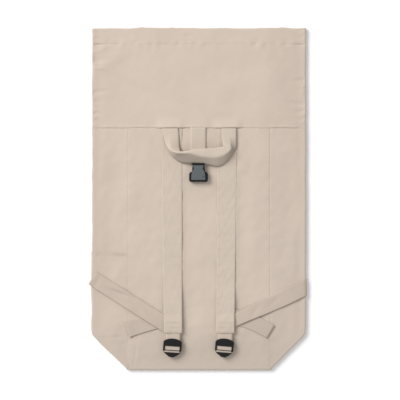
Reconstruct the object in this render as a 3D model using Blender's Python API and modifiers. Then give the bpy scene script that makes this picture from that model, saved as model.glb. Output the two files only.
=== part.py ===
"""Roll-top backpack lying flat and empty, harness side up.

X runs to the right, Y from the bag's bottom to its mouth, Z up from the floor.
"""
import math

import bmesh
import bpy
from mathutils import Matrix, Vector

MM = 0.001

# The bag's cloth, sewn as a tube of four panels with a collar above
PANEL_WIDTH = 284 * MM
GUSSET_DEPTH = 144 * MM
BODY_LENGTH = 484 * MM
COLLAR_LENGTH = 200 * MM
HEM_DEPTH = 31 * MM
POCKET_HEIGHT = 236 * MM
CLOTH = 1.5 * MM
HEM_AIR = 0.7 * MM
PIECE_GAP = 0.3 * MM

# How the empty bag lies: low at its folded edges, slightly puffed inside them
EDGE_HEIGHT = 9 * MM
CROWN_HEIGHT = 15 * MM
CROWN_REACH = 90 * MM
TUCK_RUN = 14 * MM
SEAM_LIP = 0.8 * MM
POCKET_RAMP = 24 * MM
# Spare height that keeps a draped strap clear of the faceted cloth under it
DRAPE_GAP = 0.45 * MM

# Shoulder straps and the tape through their locks
STRAP_WIDTH = 40 * MM
STRAP_SPREAD = 111 * MM
STRAP_FOOT = 74 * MM
STRAP_THICKNESS = 2.5 * MM
TAPE_WIDTH = 30 * MM
TAPE_THICKNESS = 1.4 * MM
TAPE_TURN = 16 * MM
TAPE_LEG_REACH = 2 * MM
LOOP_WIDTH = 29 * MM
LOOP_THICKNESS = 1.0 * MM
LOOP_TAIL = 17 * MM
LOOP_REVEAL = 10 * MM

# Ladder lock: a frame with a hood over the bar that holds the strap's loop
LOCK_WIDTH = 36.8 * MM
LOCK_LENGTH = 38 * MM
LOCK_ARCH = 6 * MM
LOCK_RAIL = 3.0 * MM
LOCK_HEIGHT = 7.0 * MM
HOOD_THICKNESS = 1.4 * MM
HOOD_REACH = 16 * MM
LOOP_BAR = 1.8 * MM
LOOP_BAR_HEIGHT = 1.8 * MM
LOOP_BAR_INSET = 3.6 * MM
LOOP_SLOT = 3.4 * MM
LOCK_WEB = 3.6 * MM
UPPER_SLOT = 4.4 * MM
GRIP_BAR = 5.2 * MM
GRIP_BASE = 1.2 * MM
GRIP_TOP = 3.6 * MM
LOWER_SLOT = 5.2 * MM
TAB_TOP = 4.5 * MM
TAB_BAR = 2.6 * MM
TAB_SHOULDER = 24 * MM
TAB_TIP = 7 * MM

# Closure strap and the socket half of its buckle
CLOSURE_WIDTH = 32 * MM
CLOSURE_END_WIDTH = 20 * MM
CLOSURE_THICKNESS = 1.5 * MM
CLOSURE_RETURN = 24 * MM
CLOSURE_X = -1.5 * MM
BUCKLE_X = -1 * MM
BUCKLE_DROP = 71 * MM
BUCKLE_WIDTH = 37.4 * MM
BUCKLE_LENGTH = 36.8 * MM
BUCKLE_SHELL_LENGTH = 20 * MM
BUCKLE_SHELL_HEIGHT = 7.2 * MM
BUCKLE_HEIGHT = 8.6 * MM
BUCKLE_STAND = 2.0 * MM
BUCKLE_TOP_BAR = 26.6 * MM
BUCKLE_TOP_BAR_DEPTH = 2.2 * MM
FACE_TOP_WIDTH = 23.2 * MM
FACE_FOOT_WIDTH = 29 * MM
FACE_RIM = 4.4 * MM
MOUTH_WIDTH = 24.4 * MM
MOUTH_DEPTH = 20.4 * MM
MOUTH_FLOOR = 1.4 * MM
MOUTH_ROOF = 1.2 * MM
WINDOW_LENGTH = 8 * MM
BUCKLE_BAR = 2.0 * MM
BUCKLE_BAR_INSET = 5.4 * MM
BUCKLE_CHEEK = 1.4 * MM
BUCKLE_PLATE_BASE = 6.2 * MM
BUCKLE_BAR_HEIGHT = 1.8 * MM

# Haul loop
HANDLE_SPAN = 146 * MM
HANDLE_DROP = 77 * MM
HANDLE_RISE = 20 * MM
HANDLE_THICKNESS = 2.2 * MM
HANDLE_X = 1.2 * MM

CANVAS_LIGHT = (0.665, 0.558, 0.468)
CANVAS_SHADE = (0.620, 0.520, 0.430)
TAPE_CREAM = (0.640, 0.540, 0.450)
PLASTIC_BLACK = (0.012, 0.012, 0.013)

HALF_PANEL = PANEL_WIDTH / 2
FOLD_X = HALF_PANEL + GUSSET_DEPTH / 2
TOP_Y = (BODY_LENGTH + COLLAR_LENGTH) / 2
BOTTOM_Y = -TOP_Y
SEAM_Y = TOP_Y - COLLAR_LENGTH
CORNER_Y = BOTTOM_Y + GUSSET_DEPTH / 2
POCKET_Y = BOTTOM_Y + POCKET_HEIGHT
EDGE_RADIUS = EDGE_HEIGHT / 2
POCKET_LAYER = CLOTH + PIECE_GAP
STRAP_END_Y = BOTTOM_Y + STRAP_FOOT
STRAP_RUN = SEAM_Y - PIECE_GAP / 2 - STRAP_END_Y

# Soft dents and ridges of the back: place and length as shares of half the
# bag's width and of its whole length, height as a share of the crown
FOLD_COLUMNS = ("x", "y", "heading", "length", "width", "height")
FOLDS = (
    (-0.44, 0.81, -22, 0.42, 0.110, -0.11),
    (-0.80, 0.92, 35, 0.22, 0.100, 0.08),
    (0.34, 0.88, 12, 0.40, 0.120, -0.07),
    (0.80, 0.77, -60, 0.24, 0.090, 0.08),
    (-0.82, 0.45, 80, 0.40, 0.100, -0.07),
    (0.84, 0.50, 95, 0.44, 0.100, -0.06),
    (0.02, 0.30, 4, 0.30, 0.090, -0.05),
)

# Height of a shoulder strap's underside along it: shares of its length, and
# layers of tape and loop that it lies on there
STRAP_LIFT_COLUMNS = ("share", "tapes", "loops")
STRAP_LIFTS = (
    (0.00, 0.0, 0.0),
    (0.62, 0.0, 0.0),
    (0.78, 0.6, 0.0),
    (0.86, 2.0, 0.2),
    (0.91, 2.0, 0.5),
    (0.945, 2.0, 2.2),
    (1.00, 2.0, 2.4),
)

# Each side's own places. The strap's and lock's distances out are shares of
# half the straps' spread, strap widths of the strap's width, and the tape's
# heights above the strap's end and its end past the fold of the tape's width
SIDE_COLUMNS = (
    "name", "sign", "top_out", "top_width", "end_out", "end_width", "lock_out", "lock_turn",
    "tail_rise", "tail_up", "tail_past_fold", "leg_rise", "anchor_up", "leg_up",
)
SIDES = (
    ("left", -1, 0.982, 1.025, 0.937, 0.90, 0.960, -4, 32.3, 0.300, -0.020, 27, 0.183, 0.900),
    ("right", 1, 1.018, 0.975, 0.946, 0.90, 0.910, -5, 25.4, 0.433, -0.147, 27, 0.167, 1.067),
)

# Haul loop from its left leg round to its right leg: the inner edge, the
# crease and the outer edge, as shares of its span, drop and rise
HANDLE_COLUMNS = (
    "inner_x", "inner_y", "inner_z", "crease_x", "crease_y", "crease_z",
    "outer_x", "outer_y", "outer_z",
)
HANDLE_SECTIONS = (
    (0.208, 0.006, 0.00, 0.106, 0.006, 0.00, 0.000, 0.006, 0.00),
    (0.210, 0.22, 0.15, 0.113, 0.25, 0.20, 0.014, 0.25, 0.08),
    (0.217, 0.40, 0.46, 0.096, 0.44, 0.52, 0.040, 0.42, 0.20),
    (0.232, 0.53, 0.76, 0.124, 0.58, 0.80, 0.074, 0.58, 0.12),
    (0.236, 0.60, 0.94, 0.194, 0.64, 1.00, 0.132, 0.74, 0.04),
    (0.302, 0.61, 0.97, 0.285, 0.645, 1.00, 0.210, 0.86, 0.02),
    (0.365, 0.59, 0.93, 0.345, 0.645, 0.98, 0.285, 0.915, 0.20),
    (0.420, 0.56, 0.86, 0.410, 0.67, 0.90, 0.366, 0.925, 0.46),
    (0.486, 0.54, 0.78, 0.474, 0.71, 0.84, 0.450, 0.930, 0.50),
    (0.574, 0.535, 0.75, 0.567, 0.745, 0.80, 0.560, 0.935, 0.50),
    (0.622, 0.530, 0.70, 0.620, 0.755, 0.76, 0.612, 0.950, 0.38),
    (0.675, 0.525, 0.66, 0.675, 0.762, 0.74, 0.678, 0.970, 0.16),
    (0.764, 0.505, 0.58, 0.770, 0.760, 0.70, 0.757, 0.985, 0.03),
    (0.822, 0.480, 0.50, 0.862, 0.675, 0.62, 0.842, 0.895, 0.02),
    (0.818, 0.415, 0.38, 0.930, 0.535, 0.46, 0.924, 0.725, 0.03),
    (0.810, 0.315, 0.26, 0.920, 0.415, 0.33, 0.990, 0.530, 0.06),
    (0.805, 0.17, 0.10, 0.905, 0.23, 0.15, 1.000, 0.270, 0.08),
    (0.803, 0.006, 0.00, 0.905, 0.006, 0.00, 1.000, 0.006, 0.00),
)


def rows_of(columns, table):
    """The table's rows as dictionaries keyed by its column names."""
    return [dict(zip(columns, row)) for row in table]


def ease(share):
    """Rises from 0 to 1 and levels off there."""
    share = min(max(share, 0.0), 1.0)
    return 1 - (1 - share) ** 2


def smooth(share):
    """Rises from 0 to 1, level at both ends."""
    share = min(max(share, 0.0), 1.0)
    return share * share * (3 - 2 * share)


def blend(low, high, share):
    return low + (high - low) * share


# The empty bag's shape

def fold_x(y):
    """Where the side fold lies; it runs in at 45 degrees at the corners."""
    return FOLD_X - max(0.0, CORNER_Y - y)


def edge_distance(x, y):
    """Distance in from the nearest folded edge."""
    side = FOLD_X - abs(x)
    bottom = y - BOTTOM_Y
    corner = (HALF_PANEL + y - BOTTOM_Y - abs(x)) / math.sqrt(2)
    return min(side, bottom, corner)


def fold_height(x, y):
    """Height that the soft dents and ridges add."""
    total = 0.0
    for fold in rows_of(FOLD_COLUMNS, FOLDS):
        heading = math.radians(fold["heading"])
        away_x = x - fold["x"] * FOLD_X
        away_y = y - (BOTTOM_Y + fold["y"] * (TOP_Y - BOTTOM_Y))
        along = away_x * math.cos(heading) + away_y * math.sin(heading)
        across = away_y * math.cos(heading) - away_x * math.sin(heading)
        along_share = along / (fold["length"] * FOLD_X)
        across_share = across / (fold["width"] * FOLD_X)
        total += fold["height"] * CROWN_HEIGHT * math.exp(-along_share ** 2 - across_share ** 2)
    inside = smooth((edge_distance(x, y) - EDGE_RADIUS) / (2 * EDGE_HEIGHT))
    return total * inside


def back_height(x, y):
    """Height of the bag's upper face above the floor."""
    share = (edge_distance(x, y) - EDGE_RADIUS) / CROWN_REACH
    crown = (CROWN_HEIGHT - EDGE_HEIGHT) * ease(share)
    return EDGE_HEIGHT + crown + fold_height(x, y)


def top_height(x, y):
    """Upper face with the side pocket's extra layer on the left gusset."""
    inward = x + HALF_PANEL
    above = y - POCKET_Y
    step = smooth(1 - inward / (2 * EDGE_HEIGHT)) * smooth(1 - above / (2 * EDGE_HEIGHT))
    return back_height(x, y) + POCKET_LAYER * step


def side_lift(y):
    """How far the pocket's layer lifts the left gusset's underside."""
    return POCKET_LAYER * smooth((POCKET_Y + POCKET_RAMP + EDGE_HEIGHT - y) / POCKET_RAMP)


# Blender helpers

def clear_scene():
    for item in list(bpy.data.objects):
        bpy.data.objects.remove(item, do_unlink=True)


def new_collection(name):
    collection = bpy.data.collections.new(name)
    bpy.context.scene.collection.children.link(collection)
    return collection


clear_scene()
BAG = new_collection("rolltop_backpack")
TOOLS = new_collection("shaping_solids")


def finish(item, colour, roughness):
    """Give the piece a plain material of its own."""
    material = bpy.data.materials.new(item.name + "_finish")
    material.use_nodes = True
    shader = material.node_tree.nodes["Principled BSDF"]
    shader.inputs["Base Color"].default_value = (*colour, 1.0)
    shader.inputs["Roughness"].default_value = roughness
    shader.inputs["Metallic"].default_value = 0.0
    material.diffuse_color = (*colour, 1.0)
    item.data.materials.append(material)


def add_object(name, mesh_builder, collection):
    """Turn a bmesh into a named object."""
    mesh = bpy.data.meshes.new(name)
    mesh_builder.to_mesh(mesh)
    mesh_builder.free()
    item = bpy.data.objects.new(name, mesh)
    collection.objects.link(item)
    return item


def sheet(name, columns, rows, place, thickness, offset, colour, welded=False, turned=False):
    """A cloth sheet: a grid laid out by place(column, row), then thickened."""
    grid = bmesh.new()
    bmesh.ops.create_grid(grid, x_segments=columns, y_segments=rows, size=1.0)
    for vertex in grid.verts:
        column = round((vertex.co.x + 1) / 2 * columns)
        row = round((vertex.co.y + 1) / 2 * rows)
        vertex.co = place(column, row)
    if welded:
        bmesh.ops.remove_doubles(grid, verts=grid.verts, dist=0.01 * MM)
    if turned:
        bmesh.ops.reverse_faces(grid, faces=grid.faces)
    for face in grid.faces:
        face.smooth = True
    item = add_object(name, grid, BAG)
    thicken = item.modifiers.new("thicken", "SOLIDIFY")
    thicken.thickness = thickness
    thicken.offset = offset
    thicken.use_even_offset = True
    thicken.use_quality_normals = True
    finish(item, colour, 0.9)
    return item


def block(name, x, y, z):
    """A box between the given limits along each axis."""
    low = Vector((x[0], y[0], z[0]))
    high = Vector((x[1], y[1], z[1]))
    scale = Matrix.Diagonal((*(high - low), 1.0))
    cube = bmesh.new()
    bmesh.ops.create_cube(cube, size=1.0, matrix=Matrix.Translation((low + high) / 2) @ scale)
    return add_object(name, cube, TOOLS)


def plate(name, outline, z, collection):
    """A flat outline between two heights."""
    curve = bpy.data.curves.new(name, "CURVE")
    curve.dimensions = "2D"
    curve.fill_mode = "BOTH"
    curve.extrude = (z[1] - z[0]) / 2
    spline = curve.splines.new("POLY")
    spline.points.add(len(outline) - 1)
    for point, (x, y) in zip(spline.points, outline):
        point.co = (x, y, 0.0, 1.0)
    spline.use_cyclic_u = True
    holder = bpy.data.objects.new(name + "_curve", curve)
    TOOLS.objects.link(holder)
    graph = bpy.context.evaluated_depsgraph_get()
    mesh = bpy.data.meshes.new_from_object(holder.evaluated_get(graph))
    bpy.data.objects.remove(holder, do_unlink=True)
    builder = bmesh.new()
    builder.from_mesh(mesh)
    bpy.data.meshes.remove(mesh)
    bmesh.ops.remove_doubles(builder, verts=builder.verts, dist=0.001 * MM)
    bmesh.ops.translate(builder, verts=builder.verts, vec=(0, 0, (z[0] + z[1]) / 2))
    return add_object(name, builder, collection)


def shape(base, steps, frame, colour, roughness):
    """Add and cut solids in order, then set the piece in its place."""
    base.matrix_world = frame
    for operation, tool in steps:
        tool.matrix_world = frame
        tool.hide_render = True
        tool.display_type = "WIRE"
        change = base.modifiers.new(tool.name, "BOOLEAN")
        change.operation = operation
        change.solver = "EXACT"
        change.object = tool
    finish(base, colour, roughness)
    return base


# Bag panels

BACK_COLUMNS = 18
GUSSET_TOP_COLUMNS = 6
ROUND_COLUMNS = 6
UNDER_COLUMNS = 3
STRAP_ROWS = 30


def spread(low, high, count):
    """Evenly spaced values, both ends included."""
    return [blend(low, high, step / count) for step in range(count + 1)]


def quarter_turn(start, steps):
    """Angles of a quarter circle after its first point."""
    return [start + math.pi / 2 * step / steps for step in range(1, steps + 1)]


def panel_x(column, columns):
    half = HALF_PANEL - PIECE_GAP / 2
    return blend(-half, half, column / columns)


def edge_roll(side):
    """Rows of the bottom edge's roll, above its seam (1) or below it (-1)."""
    middle = EDGE_RADIUS + side * PIECE_GAP / 2
    rise = EDGE_RADIUS - PIECE_GAP / 2 - SEAM_LIP
    points = [(BOTTOM_Y, middle), (BOTTOM_Y, middle + side * SEAM_LIP)]
    for angle in (math.radians(60), math.radians(30)):
        y = BOTTOM_Y + EDGE_RADIUS * (1 - math.sin(angle))
        points.append((y, middle + side * (SEAM_LIP + rise * math.cos(angle))))
    return points


def back_panel():
    """Full-height back, rolled over the bottom edge to its seam there."""
    flat = spread(BOTTOM_Y + EDGE_RADIUS, SEAM_Y - PIECE_GAP / 2, 22)
    turn = edge_roll(1)

    def place(column, row):
        x = panel_x(column, BACK_COLUMNS)
        if row < len(turn):
            return Vector((x, *turn[row]))
        y = flat[row - len(turn)]
        return Vector((x, y, back_height(x, y)))

    rows = len(turn) + len(flat) - 1
    return sheet("back_panel", BACK_COLUMNS, rows, place, CLOTH, -1, CANVAS_LIGHT)


def front_panel():
    """Front against the floor; its foot folds up and back inside the bag."""
    radius = CLOTH + PIECE_GAP / 2
    flap_y = BOTTOM_Y + GUSSET_DEPTH
    profile = [(y, 0.0) for y in spread(SEAM_Y - PIECE_GAP / 2, CORNER_Y + radius, 12)]
    for angle in quarter_turn(0, 3) + quarter_turn(math.pi / 2, 3):
        y = CORNER_Y + radius - radius * math.sin(angle)
        profile.append((y, radius - radius * math.cos(angle)))
    profile += [(y, 2 * radius) for y in spread(CORNER_Y + radius, flap_y, 4)[1:]]

    def place(column, row):
        return Vector((panel_x(column, 6), *profile[row]))

    return sheet("front_panel", 6, len(profile) - 1, place, CLOTH, -1, CANVAS_SHADE)


def tucked_height(y):
    """Underside of the bottom panel: on the floor, then over the front's fold."""
    over = 2 * (CLOTH + PIECE_GAP / 2) + PIECE_GAP
    return over * smooth((y - (CORNER_Y - TUCK_RUN - PIECE_GAP)) / TUCK_RUN)


def bottom_panel():
    """Bottom, tucked flat between the back and the front."""
    profile = edge_roll(-1)
    run = CORNER_Y - TUCK_RUN - PIECE_GAP
    profile += [(y, 0.0) for y in spread(BOTTOM_Y + EDGE_RADIUS, run, 3)]
    profile += [(y, tucked_height(y)) for y in spread(run, run + TUCK_RUN, 5)[1:]]
    profile += [(y, tucked_height(y)) for y in spread(run + TUCK_RUN, BOTTOM_Y + GUSSET_DEPTH, 4)[1:]]

    def place(column, row):
        return Vector((panel_x(column, 6), *profile[row]))

    return sheet("bottom_panel", 6, len(profile) - 1, place, CLOTH, -1, CANVAS_SHADE, turned=True)


def side_section(y, lift, outset, inner):
    """Distances from the centre line and heights round a gusset's fold.

    lift raises the underside, outset adds layers outside it.
    """
    radius = EDGE_RADIUS - lift / 2
    centre = fold_x(y) - EDGE_RADIUS
    height = lift + radius
    slant = math.sqrt(2) if y < CORNER_Y + PIECE_GAP else 1.0
    points = []
    for across in spread(inner, centre, GUSSET_TOP_COLUMNS):
        points.append((across, None))
    for step in range(1, ROUND_COLUMNS):
        angle = math.pi * step / ROUND_COLUMNS
        reach = radius + outset
        out = (radius + outset * slant) * math.sin(angle)
        points.append((centre + out, height + reach * math.cos(angle)))
    for across in spread(centre, inner, UNDER_COLUMNS):
        points.append((across, lift - outset))
    return points


def side_sheet(name, sign, y_rows, lift_at, outset, colour):
    """A cloth piece folded round one side of the bag, from seam to seam."""
    inner = HALF_PANEL + PIECE_GAP / 2
    sections = [side_section(y, lift_at(y), outset, inner) for y in y_rows]

    def place(column, row):
        y = y_rows[row]
        across, height = sections[row][column]
        x = sign * across
        if height is None:
            height = back_height(x, y) + outset
        return Vector((x, y, height))

    columns = len(sections[0]) - 1
    return sheet(name, columns, len(y_rows) - 1, place, CLOTH, -1, colour, turned=sign < 0)


def side_rows(top, upper_count):
    """Rows from the bag's corner, along the 45 degree fold, up to the top."""
    foot = BOTTOM_Y + EDGE_RADIUS + PIECE_GAP
    return spread(foot, CORNER_Y, 7) + spread(CORNER_Y, top, upper_count)[1:]


def gussets():
    rows = side_rows(SEAM_Y - PIECE_GAP / 2, 17)
    side_sheet("gusset_left", -1, rows, side_lift, 0.0, CANVAS_LIGHT)
    side_sheet("gusset_right", 1, rows, lambda y: 0.0, 0.0, CANVAS_LIGHT)


def pocket():
    """Side pocket, a second layer round the left gusset."""
    rows = side_rows(POCKET_Y, 7)
    side_sheet("pocket_left", -1, rows, lambda y: POCKET_LAYER, POCKET_LAYER, CANVAS_SHADE)


def collar():
    """Tube above the body seam; its mouth turns in and down as the hem."""
    turn = CLOTH + HEM_AIR / 2
    stations = [(y, 0.0) for y in spread(SEAM_Y + PIECE_GAP / 2, TOP_Y - turn, 10)]
    for angle in quarter_turn(0, 2) + quarter_turn(math.pi / 2, 2):
        stations.append((TOP_Y - turn + turn * math.sin(angle), turn - turn * math.cos(angle)))
    stations.append((TOP_Y - HEM_DEPTH, 2 * turn))
    flat_x = FOLD_X - EDGE_RADIUS
    top = [("back", x) for x in spread(-flat_x, flat_x, 24)]
    right = [("right", math.pi * step / ROUND_COLUMNS) for step in range(1, ROUND_COLUMNS)]
    under = [("front", x) for x in spread(flat_x, -flat_x, 10)]
    left = [("left", math.pi * step / ROUND_COLUMNS) for step in range(1, ROUND_COLUMNS)]
    loop = top + right + under + left
    loop.append(loop[0])

    def place(column, row):
        y, inset = stations[row]
        part, value = loop[column]
        reach = EDGE_RADIUS - inset
        if part == "back":
            return Vector((value, y, back_height(value, y) - inset))
        if part == "front":
            return Vector((value, y, inset))
        side = 1 if part == "right" else -1
        turned = math.cos(value) * side
        across = side * (flat_x + reach * math.sin(value))
        return Vector((across, y, EDGE_RADIUS + reach * turned))

    return sheet("collar", len(loop) - 1, len(stations) - 1, place, CLOTH, -1, CANVAS_LIGHT, welded=True)


# Straps, tapes and handle

def table_value(rows, share, column):
    """A column's value at a share, straight between the rows."""
    for low, high in zip(rows, rows[1:]):
        if share <= high["share"]:
            span = (share - low["share"]) / (high["share"] - low["share"])
            return blend(low[column], high[column], max(span, 0.0))
    return rows[-1][column]


def strap_lift(share):
    """Height of a shoulder strap's underside above the bag."""
    rows = rows_of(STRAP_LIFT_COLUMNS, STRAP_LIFTS)
    tapes = table_value(rows, share, "tapes") * (TAPE_THICKNESS + PIECE_GAP)
    loops = table_value(rows, share, "loops") * (LOOP_THICKNESS + PIECE_GAP)
    return DRAPE_GAP + tapes + loops


def strap_middle(side, share):
    out = blend(side["top_out"], side["end_out"], share)
    return side["sign"] * out * STRAP_SPREAD / 2


def shoulder_strap(side):
    def place(column, row):
        share = row / STRAP_ROWS
        width = STRAP_WIDTH * blend(side["top_width"], side["end_width"], share)
        x = strap_middle(side, share) + width * (0.5 - column / 4)
        y = STRAP_END_Y + STRAP_RUN * (1 - share)
        return Vector((x, y, top_height(x, y) + strap_lift(share)))

    name = "shoulder_strap_" + side["name"]
    return sheet(name, 4, STRAP_ROWS, place, STRAP_THICKNESS, 1, CANVAS_LIGHT)


# Lock's own frame: middle of the lock, Y towards the strap, Z up from its underside
LOCK_TOP = LOCK_LENGTH / 2
HOOD_FOOT = LOCK_TOP - HOOD_REACH
LOOP_BAR_TOP = LOCK_TOP - LOOP_BAR_INSET
LOOP_BAR_FOOT = LOOP_BAR_TOP - LOOP_BAR
LOOP_SLOT_FOOT = LOOP_BAR_FOOT - LOOP_SLOT
UPPER_SLOT_TOP = LOOP_SLOT_FOOT - LOCK_WEB
UPPER_SLOT_FOOT = UPPER_SLOT_TOP - UPPER_SLOT
GRIP_FOOT = UPPER_SLOT_FOOT - GRIP_BAR
LOWER_SLOT_FOOT = GRIP_FOOT - LOWER_SLOT
HOOD_BASE = LOCK_HEIGHT - HOOD_THICKNESS
LOCK_STAND = 2 * (DRAPE_GAP + TAPE_THICKNESS + PIECE_GAP / 2)
LOOP_BAR_BASE = (HOOD_BASE - LOOP_BAR_HEIGHT) / 2


def lock_frame(side):
    """Where a lock lies: just past the strap's end, along the bag's slope there."""
    x = side["sign"] * side["lock_out"] * STRAP_SPREAD / 2
    y = STRAP_END_Y - LOCK_TOP - LOOP_REVEAL
    upper = top_height(x, y + LOCK_TOP)
    lower = top_height(x, y - LOCK_TOP)
    z = (lower + upper) / 2 + LOCK_STAND
    turn = Matrix.Rotation(math.radians(side["lock_turn"]), 4, "Z")
    slope = Matrix.Rotation(math.atan2(upper - lower, LOCK_LENGTH), 4, "X")
    return Matrix.Translation((x, y, z)) @ turn @ slope


def draped(frame, x, y, height):
    """A point of the frame's plane, set at this height above the bag."""
    point = frame @ Vector((x, y, 0))
    return Vector((point.x, point.y, top_height(point.x, point.y) + height))


def arch(half_width, base, rise, steps):
    """Half an ellipse from the right end over the top to the left end."""
    points = []
    for step in range(steps + 1):
        angle = math.pi * step / steps
        points.append((half_width * math.cos(angle), base + rise * math.sin(angle)))
    return points


def ladder_lock(side):
    name = "ladder_lock_" + side["name"]
    half = LOCK_WIDTH / 2
    bay = half - LOCK_RAIL
    foot = -LOCK_TOP
    knee = LOWER_SLOT_FOOT + 0.6 * LOWER_SLOT
    right_side = [
        (TAB_TIP / 2, foot), (TAB_SHOULDER / 2, LOWER_SLOT_FOOT - TAB_BAR),
        (bay + 0.6 * LOCK_RAIL, LOWER_SLOT_FOOT), (half, knee), (half, LOOP_BAR_TOP),
    ]
    rails = right_side + [(-x, y) for x, y in reversed(right_side)]
    hood = arch(half, LOCK_TOP - LOCK_ARCH, LOCK_ARCH, 14) + [(-half, HOOD_FOOT), (half, HOOD_FOOT)]
    above = 2 * LOCK_HEIGHT
    low = -LOCK_HEIGHT
    inside = (-bay, bay)
    across = (-half - MM, half + MM)
    bar_height = (LOOP_BAR_BASE, LOOP_BAR_BASE + LOOP_BAR_HEIGHT)
    base = plate(name, rails, (0, HOOD_BASE), BAG)
    steps = [
        ("DIFFERENCE", block(name + "_loop_bay", inside, (LOOP_SLOT_FOOT, LOCK_TOP), (low, above))),
        ("DIFFERENCE", block(name + "_upper_slot", inside, (UPPER_SLOT_FOOT, UPPER_SLOT_TOP), (low, above))),
        ("DIFFERENCE", block(name + "_lower_slot", inside, (LOWER_SLOT_FOOT, GRIP_FOOT), (low, above))),
        ("DIFFERENCE", block(name + "_over_grip", inside, (GRIP_FOOT - MM, UPPER_SLOT_FOOT + MM), (GRIP_TOP, above))),
        ("DIFFERENCE", block(name + "_under_grip", inside, (GRIP_FOOT - MM, UPPER_SLOT_FOOT + MM), (low, GRIP_BASE))),
        ("DIFFERENCE", block(name + "_over_tab", across, (foot - MM, LOWER_SLOT_FOOT), (TAB_TOP, above))),
        ("UNION", block(name + "_loop_bar", (-bay - MM, bay + MM), (LOOP_BAR_FOOT, LOOP_BAR_TOP), bar_height)),
        ("UNION", plate(name + "_hood", hood, (HOOD_BASE - 0.2 * MM, LOCK_HEIGHT), TOOLS)),
    ]
    return shape(base, steps, lock_frame(side), PLASTIC_BLACK, 0.3)


def arc_round(centre, radius, start, end, steps):
    """Points of an arc in the upright plane, angles in degrees from the Y axis."""
    points = []
    for step in range(steps + 1):
        angle = math.radians(blend(start, end, step / steps))
        points.append((centre[0] + radius * math.cos(angle), centre[1] + radius * math.sin(angle)))
    return points


def wrap_radius(bar_depth, bar_height, thickness):
    """Middle radius of a strap that clears the corners of a square bar."""
    return math.hypot(bar_depth, bar_height) / 2 + 0.7 * PIECE_GAP + thickness / 2


def strap_loop(side):
    """Tape from under the strap's end, round the lock's loop bar and back."""
    frame = lock_frame(side)
    bar_y = (LOOP_BAR_TOP + LOOP_BAR_FOOT) / 2
    bar_z = LOOP_BAR_BASE + LOOP_BAR_HEIGHT / 2
    radius = wrap_radius(LOOP_BAR, LOOP_BAR_HEIGHT, LOOP_THICKNESS)
    end = LOCK_TOP + LOOP_REVEAL + LOOP_TAIL
    under_strap = LOCK_TOP + LOOP_REVEAL - 2 * MM
    lower = LOOP_THICKNESS / 2
    upper = lower + LOOP_THICKNESS + PIECE_GAP
    wrap = arc_round((bar_y, bar_z), radius, 90, 270, 8)
    stay = (end, (end + under_strap) / 2, under_strap)
    path = [(y, LOCK_STAND + upper, True) for y in stay]
    path.append((LOCK_TOP + MM, bar_z + radius * 0.9, False))
    path += [(y, z, False) for y, z in wrap]
    path.append((LOCK_TOP + MM, bar_z - radius * 0.95, False))
    path += [(y, LOCK_STAND + lower, True) for y in reversed(stay)]

    def place(column, row):
        y, z, over_bag = path[row]
        x = LOOP_WIDTH * (0.5 - column / 2)
        if over_bag:
            return draped(frame, x, y, z)
        return frame @ Vector((x, y, z))

    name = "strap_loop_" + side["name"]
    return sheet(name, 2, len(path) - 1, place, LOOP_THICKNESS, 0, TAPE_CREAM)


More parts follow.
